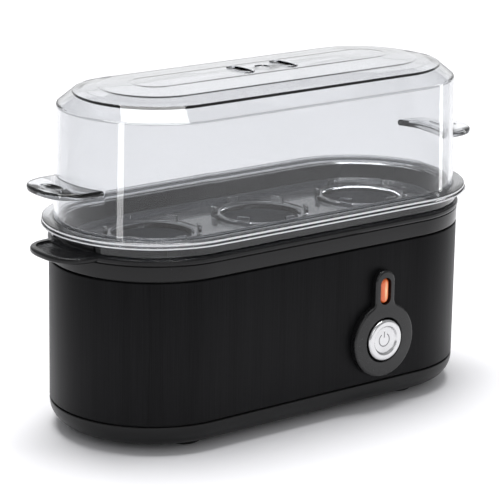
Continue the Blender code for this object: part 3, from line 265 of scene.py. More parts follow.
def plate(name, outline, low, high):
    """An upright solid on a flat outline."""
    piece = draw_line(name, [(x, y, low) for x, y in outline], closed=True)
    bpy.ops.mesh.edge_face_add()
    bpy.ops.mesh.extrude_region_move(TRANSFORM_OT_translate={"value": (0, 0, (high - low) * MM)})
    close_up()
    return piece


def soften(piece, width, segments=4):
    """Rounds the sharp edges of a piece."""
    apply_modifier(
        piece,
        "BEVEL",
        width=width * MM,
        segments=segments,
        limit_method="ANGLE",
        angle_limit=math.radians(40),
        use_clamp_overlap=True,
    )
    return piece


def place(piece, matrix):
    piece.data.transform(matrix)
    piece.data.update()
    return piece


def front_face(x, z, out=0.0):
    """Puts a piece drawn lying down on the front face, its +Z pointing out of it."""
    return Matrix.Translation(Vector((x, -END_RADIUS - out, z)) * MM) @ Matrix.Rotation(math.pi / 2, 4, "X")


def rear_face(x, z):
    return Matrix.Translation(Vector((x, END_RADIUS, z)) * MM) @ Matrix.Rotation(-math.pi / 2, 4, "X")


def moved(x, y, z):
    return Matrix.Translation(Vector((x, y, z)) * MM)


def combine(piece, tool, operation):
    """Joins a solid to the piece or cuts it away, and removes the tool."""
    apply_modifier(piece, "BOOLEAN", object=tool, operation=operation, solver="EXACT")
    bpy.data.objects.remove(tool, do_unlink=True)
    return piece


def rod(name, radius, low, high, x=0.0, y=0.0, steps=32):
    """An upright round bar."""
    deselect()
    bpy.ops.mesh.primitive_cylinder_add(
        vertices=steps,
        radius=radius * MM,
        depth=(high - low) * MM,
        location=Vector((x, y, (low + high) / 2)) * MM,
    )
    made = bpy.context.object
    made.name = name
    bpy.ops.object.transform_apply(location=True, rotation=True, scale=True)
    return made


def copy_of(piece, name, matrix):
    pick(piece)
    bpy.ops.object.duplicate(linked=False)
    made = bpy.context.object
    made.name = name
    made.data.name = name
    return place(made, matrix)


def finish(piece, look, body, nodes):
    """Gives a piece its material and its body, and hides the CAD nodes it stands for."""
    piece.data.materials.clear()
    piece.data.materials.append(look)
    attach(piece, body)
    if nodes:
        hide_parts(*nodes)
    return piece


def slot_outline(half_length, half_width, steps=16):
    """A round-ended slot in plan, long along Y."""
    run = half_length - half_width
    outline = []
    for end in (1, -1):
        for k in range(steps + 1):
            angle = math.pi * k / steps
            across, along = half_width * math.cos(angle), run + half_width * math.sin(angle)
            outline.append((end * across, end * along))
    return outline


def grip_outline(side, inset, root_x, reach, half_width, roundness=2.6, steps=40):
    """A rounded grip in plan: from an arc inside the wall straight out to root_x, then round."""
    inner = END_RADIUS - inset
    outline = []
    for k in range(steps + 1):
        angle = -math.pi / 2 + math.pi * k / steps
        out = reach * max(math.cos(angle), 0) ** (2 / roundness)
        across = math.copysign(abs(math.sin(angle)) ** (2 / roundness), math.sin(angle))
        outline.append((side * (root_x + out), half_width * across))
    limit = math.asin(half_width / inner)
    for k in range(steps // 2 + 1):
        turn = limit - 2 * limit * k / (steps // 2)
        outline.append((side * (STRAIGHT + inner * math.cos(turn)), inner * math.sin(turn)))
    return outline


# ---------------------------------------------------------------------------
# Materials
# ---------------------------------------------------------------------------


class Value:
    """A number's socket that can be used in sums."""

    def __init__(self, look, socket):
        self.look = look
        self.socket = socket

    def _sum(self, operation, first, second):
        return self.look.node("ShaderNodeMath", {"operation": operation}, {0: first, 1: second})

    def __add__(self, other):
        return self._sum("ADD", self, other)

    def __radd__(self, other):
        return self._sum("ADD", other, self)

    def __mul__(self, other):
        return self._sum("MULTIPLY", self, other)

    def __rmul__(self, other):
        return self._sum("MULTIPLY", other, self)


class Look:
    """A material with one shader, whose nodes are made by one method."""

    def __init__(self, name):
        self.material = bpy.data.materials.new(name)
        self.material.use_nodes = True
        self.tree = self.material.node_tree
        self.shader = self.tree.nodes["Principled BSDF"]
        self.output = self.tree.nodes["Material Output"]

    def node(self, kind, settings, inputs, output=0):
        """Makes a node from its settings and the values or links of its sockets."""
        made = self.tree.nodes.new(kind)
        for name, value in settings.items():
            setattr(made, name, value)
        for name, value in inputs.items():
            self.feed(made.inputs[name], value)
        return Value(self, made.outputs[output])

    def feed(self, socket, value):
        if isinstance(value, Value):
            self.tree.links.new(value.socket, socket)
        else:
            socket.default_value = value

    def set(self, **inputs):
        """Sets the shader's sockets; an underscore in a name stands for a space."""
        for name, value in inputs.items():
            self.feed(self.shader.inputs[name.replace("_", " ")], value)

    def place(self, scale=(1, 1, 1), middle=(0, 0, 0)):
        """Object coordinates, centred on a point in millimetres and scaled, in 1/mm."""
        objects = self.node("ShaderNodeTexCoord", {}, {}, "Object")
        spread = Vector(scale) / MM
        shift = -Vector([m * s for m, s in zip(middle, scale)])
        return self.node(
            "ShaderNodeMapping",
            {"vector_type": "POINT"},
            {"Vector": objects, "Scale": spread, "Location": shift},
        )

    def noise(self, vector, scale, detail=2.0, roughness=0.5):
        inputs = {"Vector": vector, "Scale": scale, "Detail": detail, "Roughness": roughness}
        return self.node("ShaderNodeTexNoise", {}, inputs, "Fac")

    def between(self, value, low, high, to_low, to_high):
        inputs = {"Value": value, "From Min": low, "From Max": high, "To Min": to_low, "To Max": to_high}
        return self.node("ShaderNodeMapRange", {"clamp": True}, inputs)

    def blend(self, share, first, second):
        """A colour between two colours."""
        inputs = {0: share, 6: colour4(first), 7: colour4(second)}
        return self.node("ShaderNodeMix", {"data_type": "RGBA"}, inputs, 2)

    def bump(self, height, depth, strength=1.0):
        inputs = {"Height": height, "Distance": depth * MM, "Strength": strength}
        return self.node("ShaderNodeBump", {}, inputs, "Normal")


def colour4(value):
    return value if isinstance(value, Value) else (*value, 1)


def tint(colour, factor):
    return tuple(min(1, part * factor) for part in colour)


def moulded_plastic(name, colour, roughness, grain, gloss=0.5):
    """Moulded plastic with a fine spark-eroded grain and slight flow marks."""
    look = Look(name)
    here = look.place()
    fine = look.noise(here, 3.2, 3.0, 0.6)
    wide = look.noise(look.place((1, 1, 0.4)), 0.05, 2.0)
    look.set(
        Base_Color=look.blend(wide, tint(colour, 0.85), tint(colour, 1.18)),
        Roughness=look.between(fine + wide, 0.6, 1.4, roughness - 0.05, roughness + 0.06),
        Normal=look.bump(fine, grain),
        Specular_IOR_Level=gloss,
    )
    return look.material


def brushed_metal(name, colour, roughness, metallic):
    """Black-coated steel brushed straight up and down."""
    look = Look(name)
    hair = look.noise(look.place((1, 1, 0.006)), 6.0, 4.0, 0.65)
    band = look.noise(look.place((1, 1, 0.002)), 0.16, 3.0, 0.6)
    speck = look.noise(look.place((1, 1, 0.05)), 1.6, 2.0)
    streak = hair * 0.7 + band * 0.3
    look.set(
        Base_Color=look.blend(look.between(streak, 0.3, 0.7, 0, 1), tint(colour, 0.5), tint(colour, 2.0)),
        Roughness=look.between(streak + speck * 0.2, 0.35, 0.85, roughness - 0.08, roughness + 0.1),
        Metallic=metallic,
        Specular_IOR_Level=0.08,
        Normal=look.bump(hair, 0.012),
    )
    return look.material


PLASTIC_IOR = 1.46
PLASTIC_DEPTH = (0.3, 0.33, 0.36, 1)


def clear_plastic(name, colour, density=0.0):
    """Clear styrene: it refracts, lets light through to what is inside and darkens with its depth."""
    look = Look(name)
    wave = look.noise(look.place((1, 1, 0.35)), 0.035, 2.0)
    look.set(
        Base_Color=(*colour, 1),
        Roughness=0.0,
        IOR=PLASTIC_IOR,
        Transmission_Weight=1.0,
        Normal=look.bump(wave, 0.05, 0.3),
    )
    through = look.node("ShaderNodeBsdfTransparent", {}, {"Color": (*tint(colour, 0.97), 1)})
    path = look.node("ShaderNodeLightPath", {}, {}, "Is Shadow Ray")
    body = Value(look, look.shader.outputs[0])
    mixed = look.node("ShaderNodeMixShader", {}, {0: path, 1: body, 2: through})
    look.tree.links.new(mixed.socket, look.output.inputs["Surface"])
    if density:
        depth = look.node("ShaderNodeVolumeAbsorption", {}, {"Color": PLASTIC_DEPTH, "Density": density})
        look.tree.links.new(depth.socket, look.output.inputs["Volume"])
    return look.material


def coated_dish(name, colour):
    """Non-stick coating: dark, cloudy and faintly flecked."""
    look = Look(name)
    fleck = look.noise(look.place(), 1.8, 2.0, 0.7)
    cloud = look.noise(look.place(), 0.06, 3.0, 0.6)
    sparks = look.between(fleck, 0.64, 0.72, 0, 1)
    base = look.blend(cloud, tint(colour, 0.8), tint(colour, 1.25))
    look.set(
        Base_Color=look.blend(sparks * 0.1, base, tint(colour, 3.2)),
        Roughness=look.between(cloud, 0.3, 0.7, 0.28, 0.42),
        Metallic=0.35,
        Normal=look.bump(fleck, 0.002),
    )
    return look.material


def rubber(name, colour):
    look = Look(name)
    fine = look.noise(look.place(), 2.6, 3.0, 0.6)
    dust = look.noise(look.place(), 0.3, 2.0)
    look.set(
        Base_Color=look.blend(dust, colour, tint(colour, 1.8)),
        Roughness=look.between(dust, 0.3, 0.7, 0.7, 0.88),
        Normal=look.bump(fine, 0.03),
        Specular_IOR_Level=0.3,
    )
    return look.material


def bare_metal(name, colour, roughness):
    """Plated or polished metal, with a light haze and fine marks."""
    look = Look(name)
    haze = look.noise(look.place(), 0.5, 3.0, 0.6)
    marks = look.noise(look.place(), 5.0, 2.0, 0.6)
    look.set(
        Base_Color=look.blend(haze, tint(colour, 0.9), tint(colour, 1.06)),
        Roughness=look.between(haze + marks * 0.4, 0.4, 1.0, roughness - 0.05, roughness + 0.08),
        Metallic=1.0,
        Normal=look.bump(marks, 0.006),
    )
    return look.material


def fired_ceramic(name, colour):
    look = Look(name)
    pores = look.noise(look.place(), 3.0, 3.0, 0.7)
    stain = look.noise(look.place(), 0.25, 2.0)
    look.set(
        Base_Color=look.blend(stain, colour, tint(colour, 0.86)),
        Roughness=look.between(pores, 0.3, 0.7, 0.42, 0.6),
        Normal=look.bump(pores, 0.02),
    )
    return look.material


def amber_plastic(name, colour, pale):
    """Tinted lens plastic with a painted highlight: a lighter, faintly glowing vertical stripe just right of
    the middle stands in for a reflected highlight.
    """
    look = Look(name)
    here = look.place((1.1, 0.0, 0.2), middle=(LENS_X + 0.45, 0, LENS_Z))
    length = look.node("ShaderNodeVectorMath", {"operation": "LENGTH"}, {0: here}, "Value")
    # Painted highlight: the lens is lighter in a vertical stripe just right of its middle, where a highlight
    # would fall.
    painted_highlight = look.between(length, 0.1, 1.0, 1.0, 0.0)
    look.set(
        Base_Color=look.blend(painted_highlight, colour, pale),
        Roughness=0.12,
        Coat_Weight=0.6,
        Coat_Roughness=0.04,
        # Painted glow: the emission makes the lens give off light, strongest in the highlight stripe.
        Emission_Color=look.blend(painted_highlight, tint(colour, 0.25), pale),
        Emission_Strength=0.12,
        Normal=look.bump(look.noise(look.place(), 0.8, 1.0), 0.03),
    )
    return look.material


def insulation(name, colour):
    """Soft, dull wire insulation."""
    look = Look(name)
    fine = look.noise(look.place(), 2.2, 2.0)
    wide = look.noise(look.place(), 0.12, 2.0)
    look.set(
        Base_Color=look.blend(wide, tint(colour, 0.85), tint(colour, 1.15)),
        Roughness=look.between(fine, 0.3, 0.7, 0.42, 0.58),
        Normal=look.bump(fine, 0.02),
    )
    return look.material


def pale_floor(name, colour):
    look = Look(name)
    fine = look.noise(look.place(), 0.01, 2.0)
    look.set(
        Base_Color=look.blend(fine, colour, tint(colour, 0.99)),
        Roughness=0.9,
        Specular_IOR_Level=0.0,
    )
    return look.material


# ---------------------------------------------------------------------------
# Sizes and colours that a user would change
# ---------------------------------------------------------------------------


def size_property(name, description, default):
    """A length in metres, whose default is given in millimetres."""
    return bpy.props.FloatProperty(
        name=name,
        description=description,
        default=default * MM,
        min=0,
        max=100 * MM,
        precision=5,
        unit="LENGTH",
    )


def colour_property(name, description, default):
    return bpy.props.FloatVectorProperty(
        name=name, description=description, default=default, size=3, min=0, max=1, subtype="COLOR"
    )


class CookerSizes(bpy.types.PropertyGroup):
    """Detail sizes; the main sizes come from the frame."""

    moulding_edge: size_property("Moulding edge", "Edge radius of the black mouldings", 0.45)
    clear_edge: size_property("Clear edge", "Edge radius of the clear flanges", 0.4)
    lid_wall: size_property("Lid wall", "Thickness of the lid's wall", 1.8)
    shoulder_radius: size_property("Shoulder radius", "Radius of the lid's two shoulder creases", 1.1)
    panel_depth: size_property("Panel depth", "How deep the lid's top panel lies", 0.3)
    grip_edge: size_property("Grip edge", "Edge radius of the grips", 0.9)
    plate_edge: size_property("Plate edge", "Edge radius of the control plate", 0.9)
    button_rim: size_property("Button rim", "Width of the button's raised rim", 2.4)
    mark_line: size_property("Mark line", "Line width of the power symbol", 0.36)


class CookerColours(bpy.types.PropertyGroup):
    """Base colours of the finishes, as linear values."""

    satin: colour_property("Satin black", "Moulded black plastic", (0.007, 0.007, 0.0073))
    sleeve: colour_property("Brushed black", "Coated steel sleeve", (0.007, 0.007, 0.0075))
    clear: colour_property("Clear", "Clear lid and tray", (0.815, 0.822, 0.833))
    dish: colour_property("Dish coating", "Non-stick coating of the dish", (0.055, 0.058, 0.066))
    silver: colour_property("Silver", "Push button", (0.66, 0.66, 0.665))
    amber: colour_property("Amber", "Indicator lens", (0.82, 0.14, 0.025))
    # Colour of the painted highlight stripe on the indicator lens.
    highlight_amber: colour_property("Pale amber", "Middle of the indicator lens", (1.0, 0.62, 0.3))
    floor: colour_property("Floor", "Pale floor", (0.94, 0.935, 0.95))


class CookerStage(bpy.types.PropertyGroup):
    """Where the camera stands and how bright the lamps are."""

    azimuth: bpy.props.FloatProperty(
        name="Azimuth",
        description="Direction of the camera, round from the front",
        default=math.radians(-38.4333),
        subtype="ANGLE",
    )
    elevation: bpy.props.FloatProperty(
        name="Elevation", description="Height of the camera", default=math.radians(15.3376), subtype="ANGLE"
    )
    roll: bpy.props.FloatProperty(
        name="Roll", description="Turn of the camera", default=math.radians(1.0163), subtype="ANGLE"
    )
    distance: bpy.props.FloatProperty(
        name="Distance", description="From the camera to its target", default=0.9175, unit="LENGTH"
    )
    target: bpy.props.FloatVectorProperty(
        name="Target",
        description="Point that the camera looks at",
        default=(0, 0, 0.06417),
        size=3,
        unit="LENGTH",
    )
    lens: bpy.props.FloatProperty(name="Lens", description="Focal length", default=173.34, unit="CAMERA")
    shift: bpy.props.FloatVectorProperty(
        name="Shift", description="Camera shift, in frame widths", default=(-0.0179, -0.0263), size=2
    )
    light: bpy.props.FloatProperty(name="Light", description="Strength of all lamps", default=1.0, min=0)


class EggCooker(bpy.types.PropertyGroup):
    """All settings of the cooker."""

    sizes: bpy.props.PointerProperty(type=CookerSizes, name="Sizes", description="Detail sizes")
    colours: bpy.props.PointerProperty(type=CookerColours, name="Colours", description="Finish colours")
    stage: bpy.props.PointerProperty(type=CookerStage, name="Stage", description="Camera and lamps")


LOOKS = {}


def look_of(name, make, *values):
    """Makes a material once and hands it out again."""
    if name not in LOOKS:
        LOOKS[name] = make(name, *values)
    return LOOKS[name]


def satin_black(colours):
    return look_of("satin_black", moulded_plastic, tuple(colours.satin), 0.34, 0.02, 0.24)


def plated_steel():
    return look_of("plated_steel", bare_metal, (0.56, 0.57, 0.58), 0.34)


def black_rubber():
    return look_of("black_rubber", rubber, (0.012, 0.012, 0.012))


def clear_look(colours, name="clear_plastic", density=26.0):
    return look_of(name, clear_plastic, tuple(colours.clear), density)


# ---------------------------------------------------------------------------
# Pieces
# ---------------------------------------------------------------------------


class InMillimetres:
    """Reads a group's lengths in millimetres, which the pieces are drawn in."""

    def __init__(self, lengths):
        self.lengths = lengths

    def __getattr__(self, name):
        return getattr(self.lengths, name) / MM


class PieceOperator:
    """Shared behaviour of the operators that make a piece."""

    bl_options = {"REGISTER", "UNDO"}

    def execute(self, context):
        settings = context.scene.egg_cooker
        self.make(InMillimetres(settings.sizes), settings.colours)
        return {"FINISHED"}


SHELL_TOP = SLEEVE_LOW.z - 0.6
SHELL_WALL = 2.4
BOSS_HEIGHT = 4.6
SCREW_BORE = 1.7
FOOT_BORE = 2.2
BOSS_PLACES = [node_middle(name)[:2] for name in SCREW_NAMES]
FOOT_PLACES = [node_middle(name)[:2] for name in FOOT_NAMES]
SCREW_LOW, SCREW_HIGH = node_box(SCREW_NAMES[0])
FOOT_LOW, FOOT_HIGH = node_box(FOOT_NAMES[0])
SCREW_HEAD_RADIUS = (SCREW_HIGH.x - SCREW_LOW.x) / 2


class EGG_OT_lower_shell(PieceOperator, bpy.types.Operator):
    """Moulded base shell with a quarter-round edge, a spigot, bosses and screw recesses"""

    bl_idname = "egg_cooker.lower_shell"
    bl_label = "Lower shell"

    def make(self, sizes, colours):
        height = SHELL_TOP - SHELL_LOW.z
        floor = SHELL_LOW.z + SHELL_WALL
        spigot = -SLEEVE_WALL - FIT
        edge = sizes.moulding_edge
        section = rounded(
            [
                (*on_middle(floor), 0),
                (-SHELL_WALL, floor, height - SHELL_WALL),
                (-SHELL_WALL, SHELL_HIGH.z, 0.3),
                (spigot, SHELL_HIGH.z, 0.3),
                (spigot, SHELL_TOP, 0),
                (0, SHELL_TOP, edge),
                (0, SHELL_LOW.z, height - edge),
                (*on_middle(SHELL_LOW.z), 0),
            ],
            steps=10,
        )
        shell = swept("lower_shell_body", section, closed=False)
        seat = SCREW_LOW.z + 1.5
        for index, (x, y) in enumerate(BOSS_PLACES):
            combine(shell, rod(f"boss_{index}", 4.4, floor - 0.1, floor + BOSS_HEIGHT, x, y), "UNION")
            combine(shell, rod(f"recess_{index}", SCREW_HEAD_RADIUS + FIT, 0, seat, x, y, 40), "DIFFERENCE")
            combine(shell, rod(f"bore_{index}", SCREW_BORE, 1, floor + 8, x, y), "DIFFERENCE")
        for index, (x, y) in enumerate(FOOT_PLACES):
            combine(shell, rod(f"foot_bore_{index}", FOOT_BORE, 0, floor + 2, x, y), "DIFFERENCE")
        smooth(shell)
        finish(shell, satin_black(colours), "base", ["lower_shell"])


class EGG_OT_feet(PieceOperator, bpy.types.Operator):
    """Four rubber feet"""

    bl_idname = "egg_cooker.feet"
    bl_label = "Feet"

    def make(self, sizes, colours):
        radius = (FOOT_HIGH.x - FOOT_LOW.x) / 2
        top = SHELL_LOW.z - FIT
        hollow = 0.6
        section = rounded(
            [
                (0, FOOT_HIGH.z, 0),
                (FOOT_BORE - FIT, FOOT_HIGH.z, 0.4),
                (FOOT_BORE - FIT, top, 0.2),
                (radius, top, 0.3),
                (radius, 0, 0.9),
                (radius - 2.2, 0, 0.25),
                (radius - 2.6, hollow, 0.25),
                (0, hollow, 0),
            ],
            steps=4,
        )
        model = turned("foot_model", section, steps=40)
        for name, (x, y) in zip(FOOT_NAMES, FOOT_PLACES):
            pad = copy_of(model, f"{name}_pad", moved(x, y, 0))
            finish(pad, black_rubber(), "base", [name])
        bpy.data.objects.remove(model, do_unlink=True)


class EGG_OT_case_screws(PieceOperator, bpy.types.Operator):
    """Four cross-head screws under the shell"""

    bl_idname = "egg_cooker.case_screws"
    bl_label = "Case screws"

    def make(self, sizes, colours):
        head_top = SCREW_LOW.z + 1.8
        shank = SCREW_BORE - FIT
        section = rounded(
            [
                (0, SCREW_HIGH.z, 0),
                (shank / 2, SCREW_HIGH.z, 0),
                (shank, SCREW_HIGH.z - 2, 0),
                (shank, head_top, 0),
                (SCREW_HEAD_RADIUS, head_top, 0),
                (SCREW_HEAD_RADIUS, SCREW_LOW.z, 0.9),
                (0, SCREW_LOW.z, 0),
            ],
            steps=4,
        )
        model = turned("screw_model", section, steps=32)
        arm, half = 1.6, 0.3
        for index, (wide, deep) in enumerate(((arm, half), (half, arm))):
            corners = [(-wide, -deep), (wide, -deep), (wide, deep), (-wide, deep)]
            combine(model, plate(f"cross_{index}", corners, 0, SCREW_LOW.z + 1.1), "DIFFERENCE")
        smooth(model)
        for name, (x, y) in zip(SCREW_NAMES, BOSS_PLACES):
            screw = copy_of(model, f"{name}_head", moved(x, y, 0))
            finish(screw, plated_steel(), "base", [name])
        bpy.data.objects.remove(model, do_unlink=True)


BUTTON_X, _, BUTTON_Z = node_middle("power_button")
BUTTON_RADIUS = (BUTTON_HIGH.x - BUTTON_LOW.x) / 2
BORE_RADIUS = BUTTON_RADIUS + 0.4
BOSS_RADIUS = BORE_RADIUS + 1.1
PLATE_RADIUS = (PLATE_HIGH.x - PLATE_LOW.x) / 2
PLATE_NECK = 4.7
LENS_X, _, LENS_Z = node_middle("indicator_lens")
LENS_HALF_WIDTH, LENS_HALF_LENGTH = 2.3, 5.0
GLAND_X, _, GLAND_Z = node_middle("cord_gland")
GLAND_NECK = 4.7


class EGG_OT_sleeve(PieceOperator, bpy.types.Operator):
    """Brushed black sleeve with rounded edges and holes for the controls and the flex"""

    bl_idname = "egg_cooker.sleeve"
    bl_label = "Sleeve"

    def make(self, sizes, colours):
        section = rounded(
            [
                (0, SLEEVE_HIGH.z, 0.35),
                (-SLEEVE_WALL, SLEEVE_HIGH.z, 0.2),
                (-SLEEVE_WALL, SLEEVE_LOW.z, 0.2),
                (0, SLEEVE_LOW.z, 0.35),
            ],
            steps=3,
        )
        sleeve = swept("sleeve_wall", section, steps=64)
        depth = 4 * SLEEVE_WALL
        front = front_face(BUTTON_X, BUTTON_Z)
        combine(sleeve, place(rod("switch_hole", BOSS_RADIUS + FIT, -depth, depth), front), "DIFFERENCE")
        outline = slot_outline(LENS_HALF_LENGTH + FIT, LENS_HALF_WIDTH + FIT)
        slot = place(plate("lens_hole", outline, -depth, depth), front_face(BUTTON_X, LENS_Z))
        combine(sleeve, slot, "DIFFERENCE")
        inlet = place(rod("inlet_hole", GLAND_NECK + FIT, -depth, depth), rear_face(GLAND_X, GLAND_Z))
        combine(sleeve, inlet, "DIFFERENCE")
        smooth(sleeve)
        look = look_of("brushed_black", brushed_metal, tuple(colours.sleeve), 0.42, 0.3)
        finish(sleeve, look, "base", ["outer_sleeve"])


COLLAR_TOP = RING_HIGH.z
RING_TOP = 73.8
LIP_Z = RING_TOP - 2.4
RING_BOTTOM = SLEEVE_HIGH.z + 0.6
LEDGE_TOP = RING_TOP - 5.4
GRIP_HALF_WIDTH = 15.5
GRIP_ROOT_X = SLEEVE_HIGH.x - 3.5
COLLAR_OUT, COLLAR_IN, DISH_SEAT_IN = -2.5, -4.2, -11
PILLAR_RADIUS = 3.6


class EGG_OT_upper_ring(PieceOperator, bpy.types.Operator):
    """Moulded ring with a rolled lip, a locating collar, a dish ledge and two dished grips"""

    bl_idname = "egg_cooker.upper_ring"
    bl_label = "Upper ring"

    def make(self, sizes, colours):
        edge = sizes.moulding_edge
        skirt = -SLEEVE_WALL - FIT
        ledge_foot, skirt_foot = LEDGE_TOP - 1.6, RING_BOTTOM - 7.7
        section = rounded(
            [
                (0, RING_BOTTOM, edge),
                (0.1, LIP_Z - 0.25, 0.15),
                (-0.25, LIP_Z, 0.1),
                (0.1, LIP_Z + 0.25, 0.15),
                (0.4, LIP_Z + 0.7, 0.3),
                (0.4, RING_TOP, 0.8),
                (COLLAR_OUT, RING_TOP, 0.4),
                (COLLAR_OUT, COLLAR_TOP, 0.5),
                (COLLAR_IN, COLLAR_TOP, 0.5),
                (COLLAR_IN, LEDGE_TOP, 0.4),
                (DISH_SEAT_IN, LEDGE_TOP, 0.3),
                (DISH_SEAT_IN, ledge_foot, 0.3),
                (skirt - 2, ledge_foot, 0),
                (skirt - 2, skirt_foot, 0.3),
                (skirt, skirt_foot, 0.3),
                (skirt, RING_BOTTOM, 0),
            ],
            steps=4,
        )
        ring = swept("ring_body", section, steps=56)
        reach = RING_HIGH.x - GRIP_ROOT_X
        for side in (-1, 1):
            outline = grip_outline(side, 3.4, GRIP_ROOT_X, reach, GRIP_HALF_WIDTH)
            grip = plate(f"ring_grip_{side}", outline, LIP_Z + 0.05, RING_TOP - 0.05)
            soften(grip, sizes.grip_edge)
            hollow = grip_outline(side, -0.9, GRIP_ROOT_X + 4, reach - 6.4, GRIP_HALF_WIDTH - 3)
            cutter = soften(plate(f"grip_hollow_{side}", hollow, RING_TOP - 0.75, RING_TOP + 1), 0.5, 3)
            combine(ring, combine(grip, cutter, "DIFFERENCE"), "UNION")
        foot = SHELL_LOW.z + SHELL_WALL + BOSS_HEIGHT + FIT
        for index, (x, y) in enumerate(BOSS_PLACES):
            combine(ring, rod(f"pillar_{index}", PILLAR_RADIUS, foot, LEDGE_TOP - 0.8, x, y), "UNION")
            bore = rod(f"pillar_bore_{index}", SCREW_BORE, foot - 1, SCREW_HIGH.z + 1, x, y)
            combine(ring, bore, "DIFFERENCE")
        smooth(ring)
        look = look_of("ring_black", moulded_plastic, tuple(colours.satin), 0.2, 0.008, 0.26)
        finish(ring, look, "base", ["upper_ring"])


def keyhole_outline(fillet=2.5, steps=56):
    """A round plate with a narrow neck above it and a fillet where they meet."""
    neck, disc = PLATE_NECK, PLATE_RADIUS
    corner = (neck + fillet, math.sqrt((disc + fillet) ** 2 - (neck + fillet) ** 2))
    lean = math.atan2(corner[1], corner[0])
    right = []
    for k in range(steps + 1):
        angle = -math.pi / 2 + (lean + math.pi / 2) * k / steps
        right.append((disc * math.cos(angle), disc * math.sin(angle)))
    fillet_steps, neck_steps = 8, 16
    for k in range(1, fillet_steps + 1):
        angle = lean + math.pi - lean * k / fillet_steps
        right.append((corner[0] + fillet * math.cos(angle), corner[1] + fillet * math.sin(angle)))
    rise = PLATE_HIGH.z - neck - BUTTON_Z
    for k in range(neck_steps + 1):
        angle = math.pi / 2 * k / neck_steps
        right.append((neck * math.cos(angle), rise + neck * math.sin(angle)))
    return right + [(-x, z) for x, z in reversed(right[1:-1])]


class EGG_OT_control_plate(PieceOperator, bpy.types.Operator):
    """Keyhole-shaped control plate with a round edge, a button bore and a lens slot"""

    bl_idname = "egg_cooker.control_plate"
    bl_label = "Control plate"

    def make(self, sizes, colours):
        proud = -END_RADIUS - PLATE_LOW.y
        body = plate("control_plate", keyhole_outline(), FIT, proud)
        edit(body)
        select_where(body, lambda p: p.z > proud - NEAR)
        bpy.ops.mesh.bevel(offset=sizes.plate_edge * MM, segments=5)
        leave_edit()
        depth = PLATE_HIGH.y + END_RADIUS
        combine(body, rod("plate_boss", BOSS_RADIUS, -depth, proud / 2, steps=64), "UNION")
        bore = [
            (0, proud + 2),
            (BORE_RADIUS + 0.7, proud + 2),
            (BORE_RADIUS + 0.7, proud + 0.3),
            (BORE_RADIUS + 0.3, proud - 0.1),
            (BORE_RADIUS, proud - 0.6),
            (BORE_RADIUS, -2 * depth),
            (0, -2 * depth),
        ]
        combine(body, turned("button_bore", bore, steps=72), "DIFFERENCE")
        rise = LENS_Z - BUTTON_Z
        slot = plate("lens_slot", slot_outline(LENS_HALF_LENGTH + FIT, LENS_HALF_WIDTH + FIT), -4, proud + 2)
        combine(body, place(slot, moved(0, rise, 0)), "DIFFERENCE")
        smooth(place(body, front_face(BUTTON_X, BUTTON_Z)))
        look = look_of("control_black", moulded_plastic, tuple(colours.satin), 0.25, 0.006, 0.45)
        finish(body, look, "base", ["control_bezel"])


MARK_RADIUS = 2.5
MARK_GAP = math.radians(32)
BAR_LOW, BAR_HIGH = 0.9, 3.3


def power_mark(line, low, high, grow=0.0):
    """The usual power symbol: an open ring with a bar in its gap."""
    half = line / 2 + grow
    outline = []
    steps = 40
    for edge, turn in ((MARK_RADIUS + half, 1), (MARK_RADIUS - half, -1)):
        for k in range(steps + 1):
            share = k / steps if turn > 0 else 1 - k / steps
            angle = math.pi / 2 + MARK_GAP + 2 * (math.pi - MARK_GAP) * share
            outline.append((edge * math.cos(angle), edge * math.sin(angle)))
    ring = plate("mark_ring", outline, low, high)
    bar = [(-half, BAR_LOW), (half, BAR_LOW), (half, BAR_HIGH + grow), (-half, BAR_HIGH + grow)]
    return combine(ring, plate("mark_bar", bar, low, high), "UNION")


class EGG_OT_power_button(PieceOperator, bpy.types.Operator):
    """Silver push button with a raised rim, a dished middle and an inlaid power symbol"""

    bl_idname = "egg_cooker.power_button"
    bl_label = "Power button"

    def make(self, sizes, colours):
        face = -END_RADIUS - BUTTON_LOW.y
        deep = BUTTON_HIGH.y + END_RADIUS
        rim = sizes.button_rim
        floor = face - 0.75
        skirt, stem = BUTTON_RADIUS - 1.2, 2.2
        section = rounded(
            [
                (0, floor - 0.35, 0),
                (BUTTON_RADIUS / 3, floor - 0.3, 3),
                (BUTTON_RADIUS - rim - 0.6, floor, 0.5),
                (BUTTON_RADIUS - rim, face, 0.45),
                (BUTTON_RADIUS, face, 1.1),
                (BUTTON_RADIUS, face - 8.5, 0.3),
                (skirt, face - 8.5, 0),
                (skirt, face - 2.2, 0),
                (stem, face - 2.2, 0),
                (stem, -deep, 0.2),
                (0, -deep, 0),
            ],
            steps=6,
        )
        button = turned("button_cap", section, steps=72)
        line = sizes.mark_line
        combine(button, power_mark(line, floor - 0.52, floor + 1, 0.03), "DIFFERENCE")
        mark = power_mark(line, floor - 0.5, floor - 0.34)
        stand = front_face(BUTTON_X, BUTTON_Z)
        smooth(place(button, stand))
        smooth(place(mark, stand))
        mark.name = "power_symbol"
        silver = look_of("silver", bare_metal, tuple(colours.silver), 0.2)
        finish(button, silver, "button", ["power_button"])
        ink = look_of("symbol_ink", moulded_plastic, (0.22, 0.22, 0.23), 0.5, 0.01)
        finish(mark, ink, "button", [])


SPRING_WIRE = 0.35
SPRING_TURNS = 5


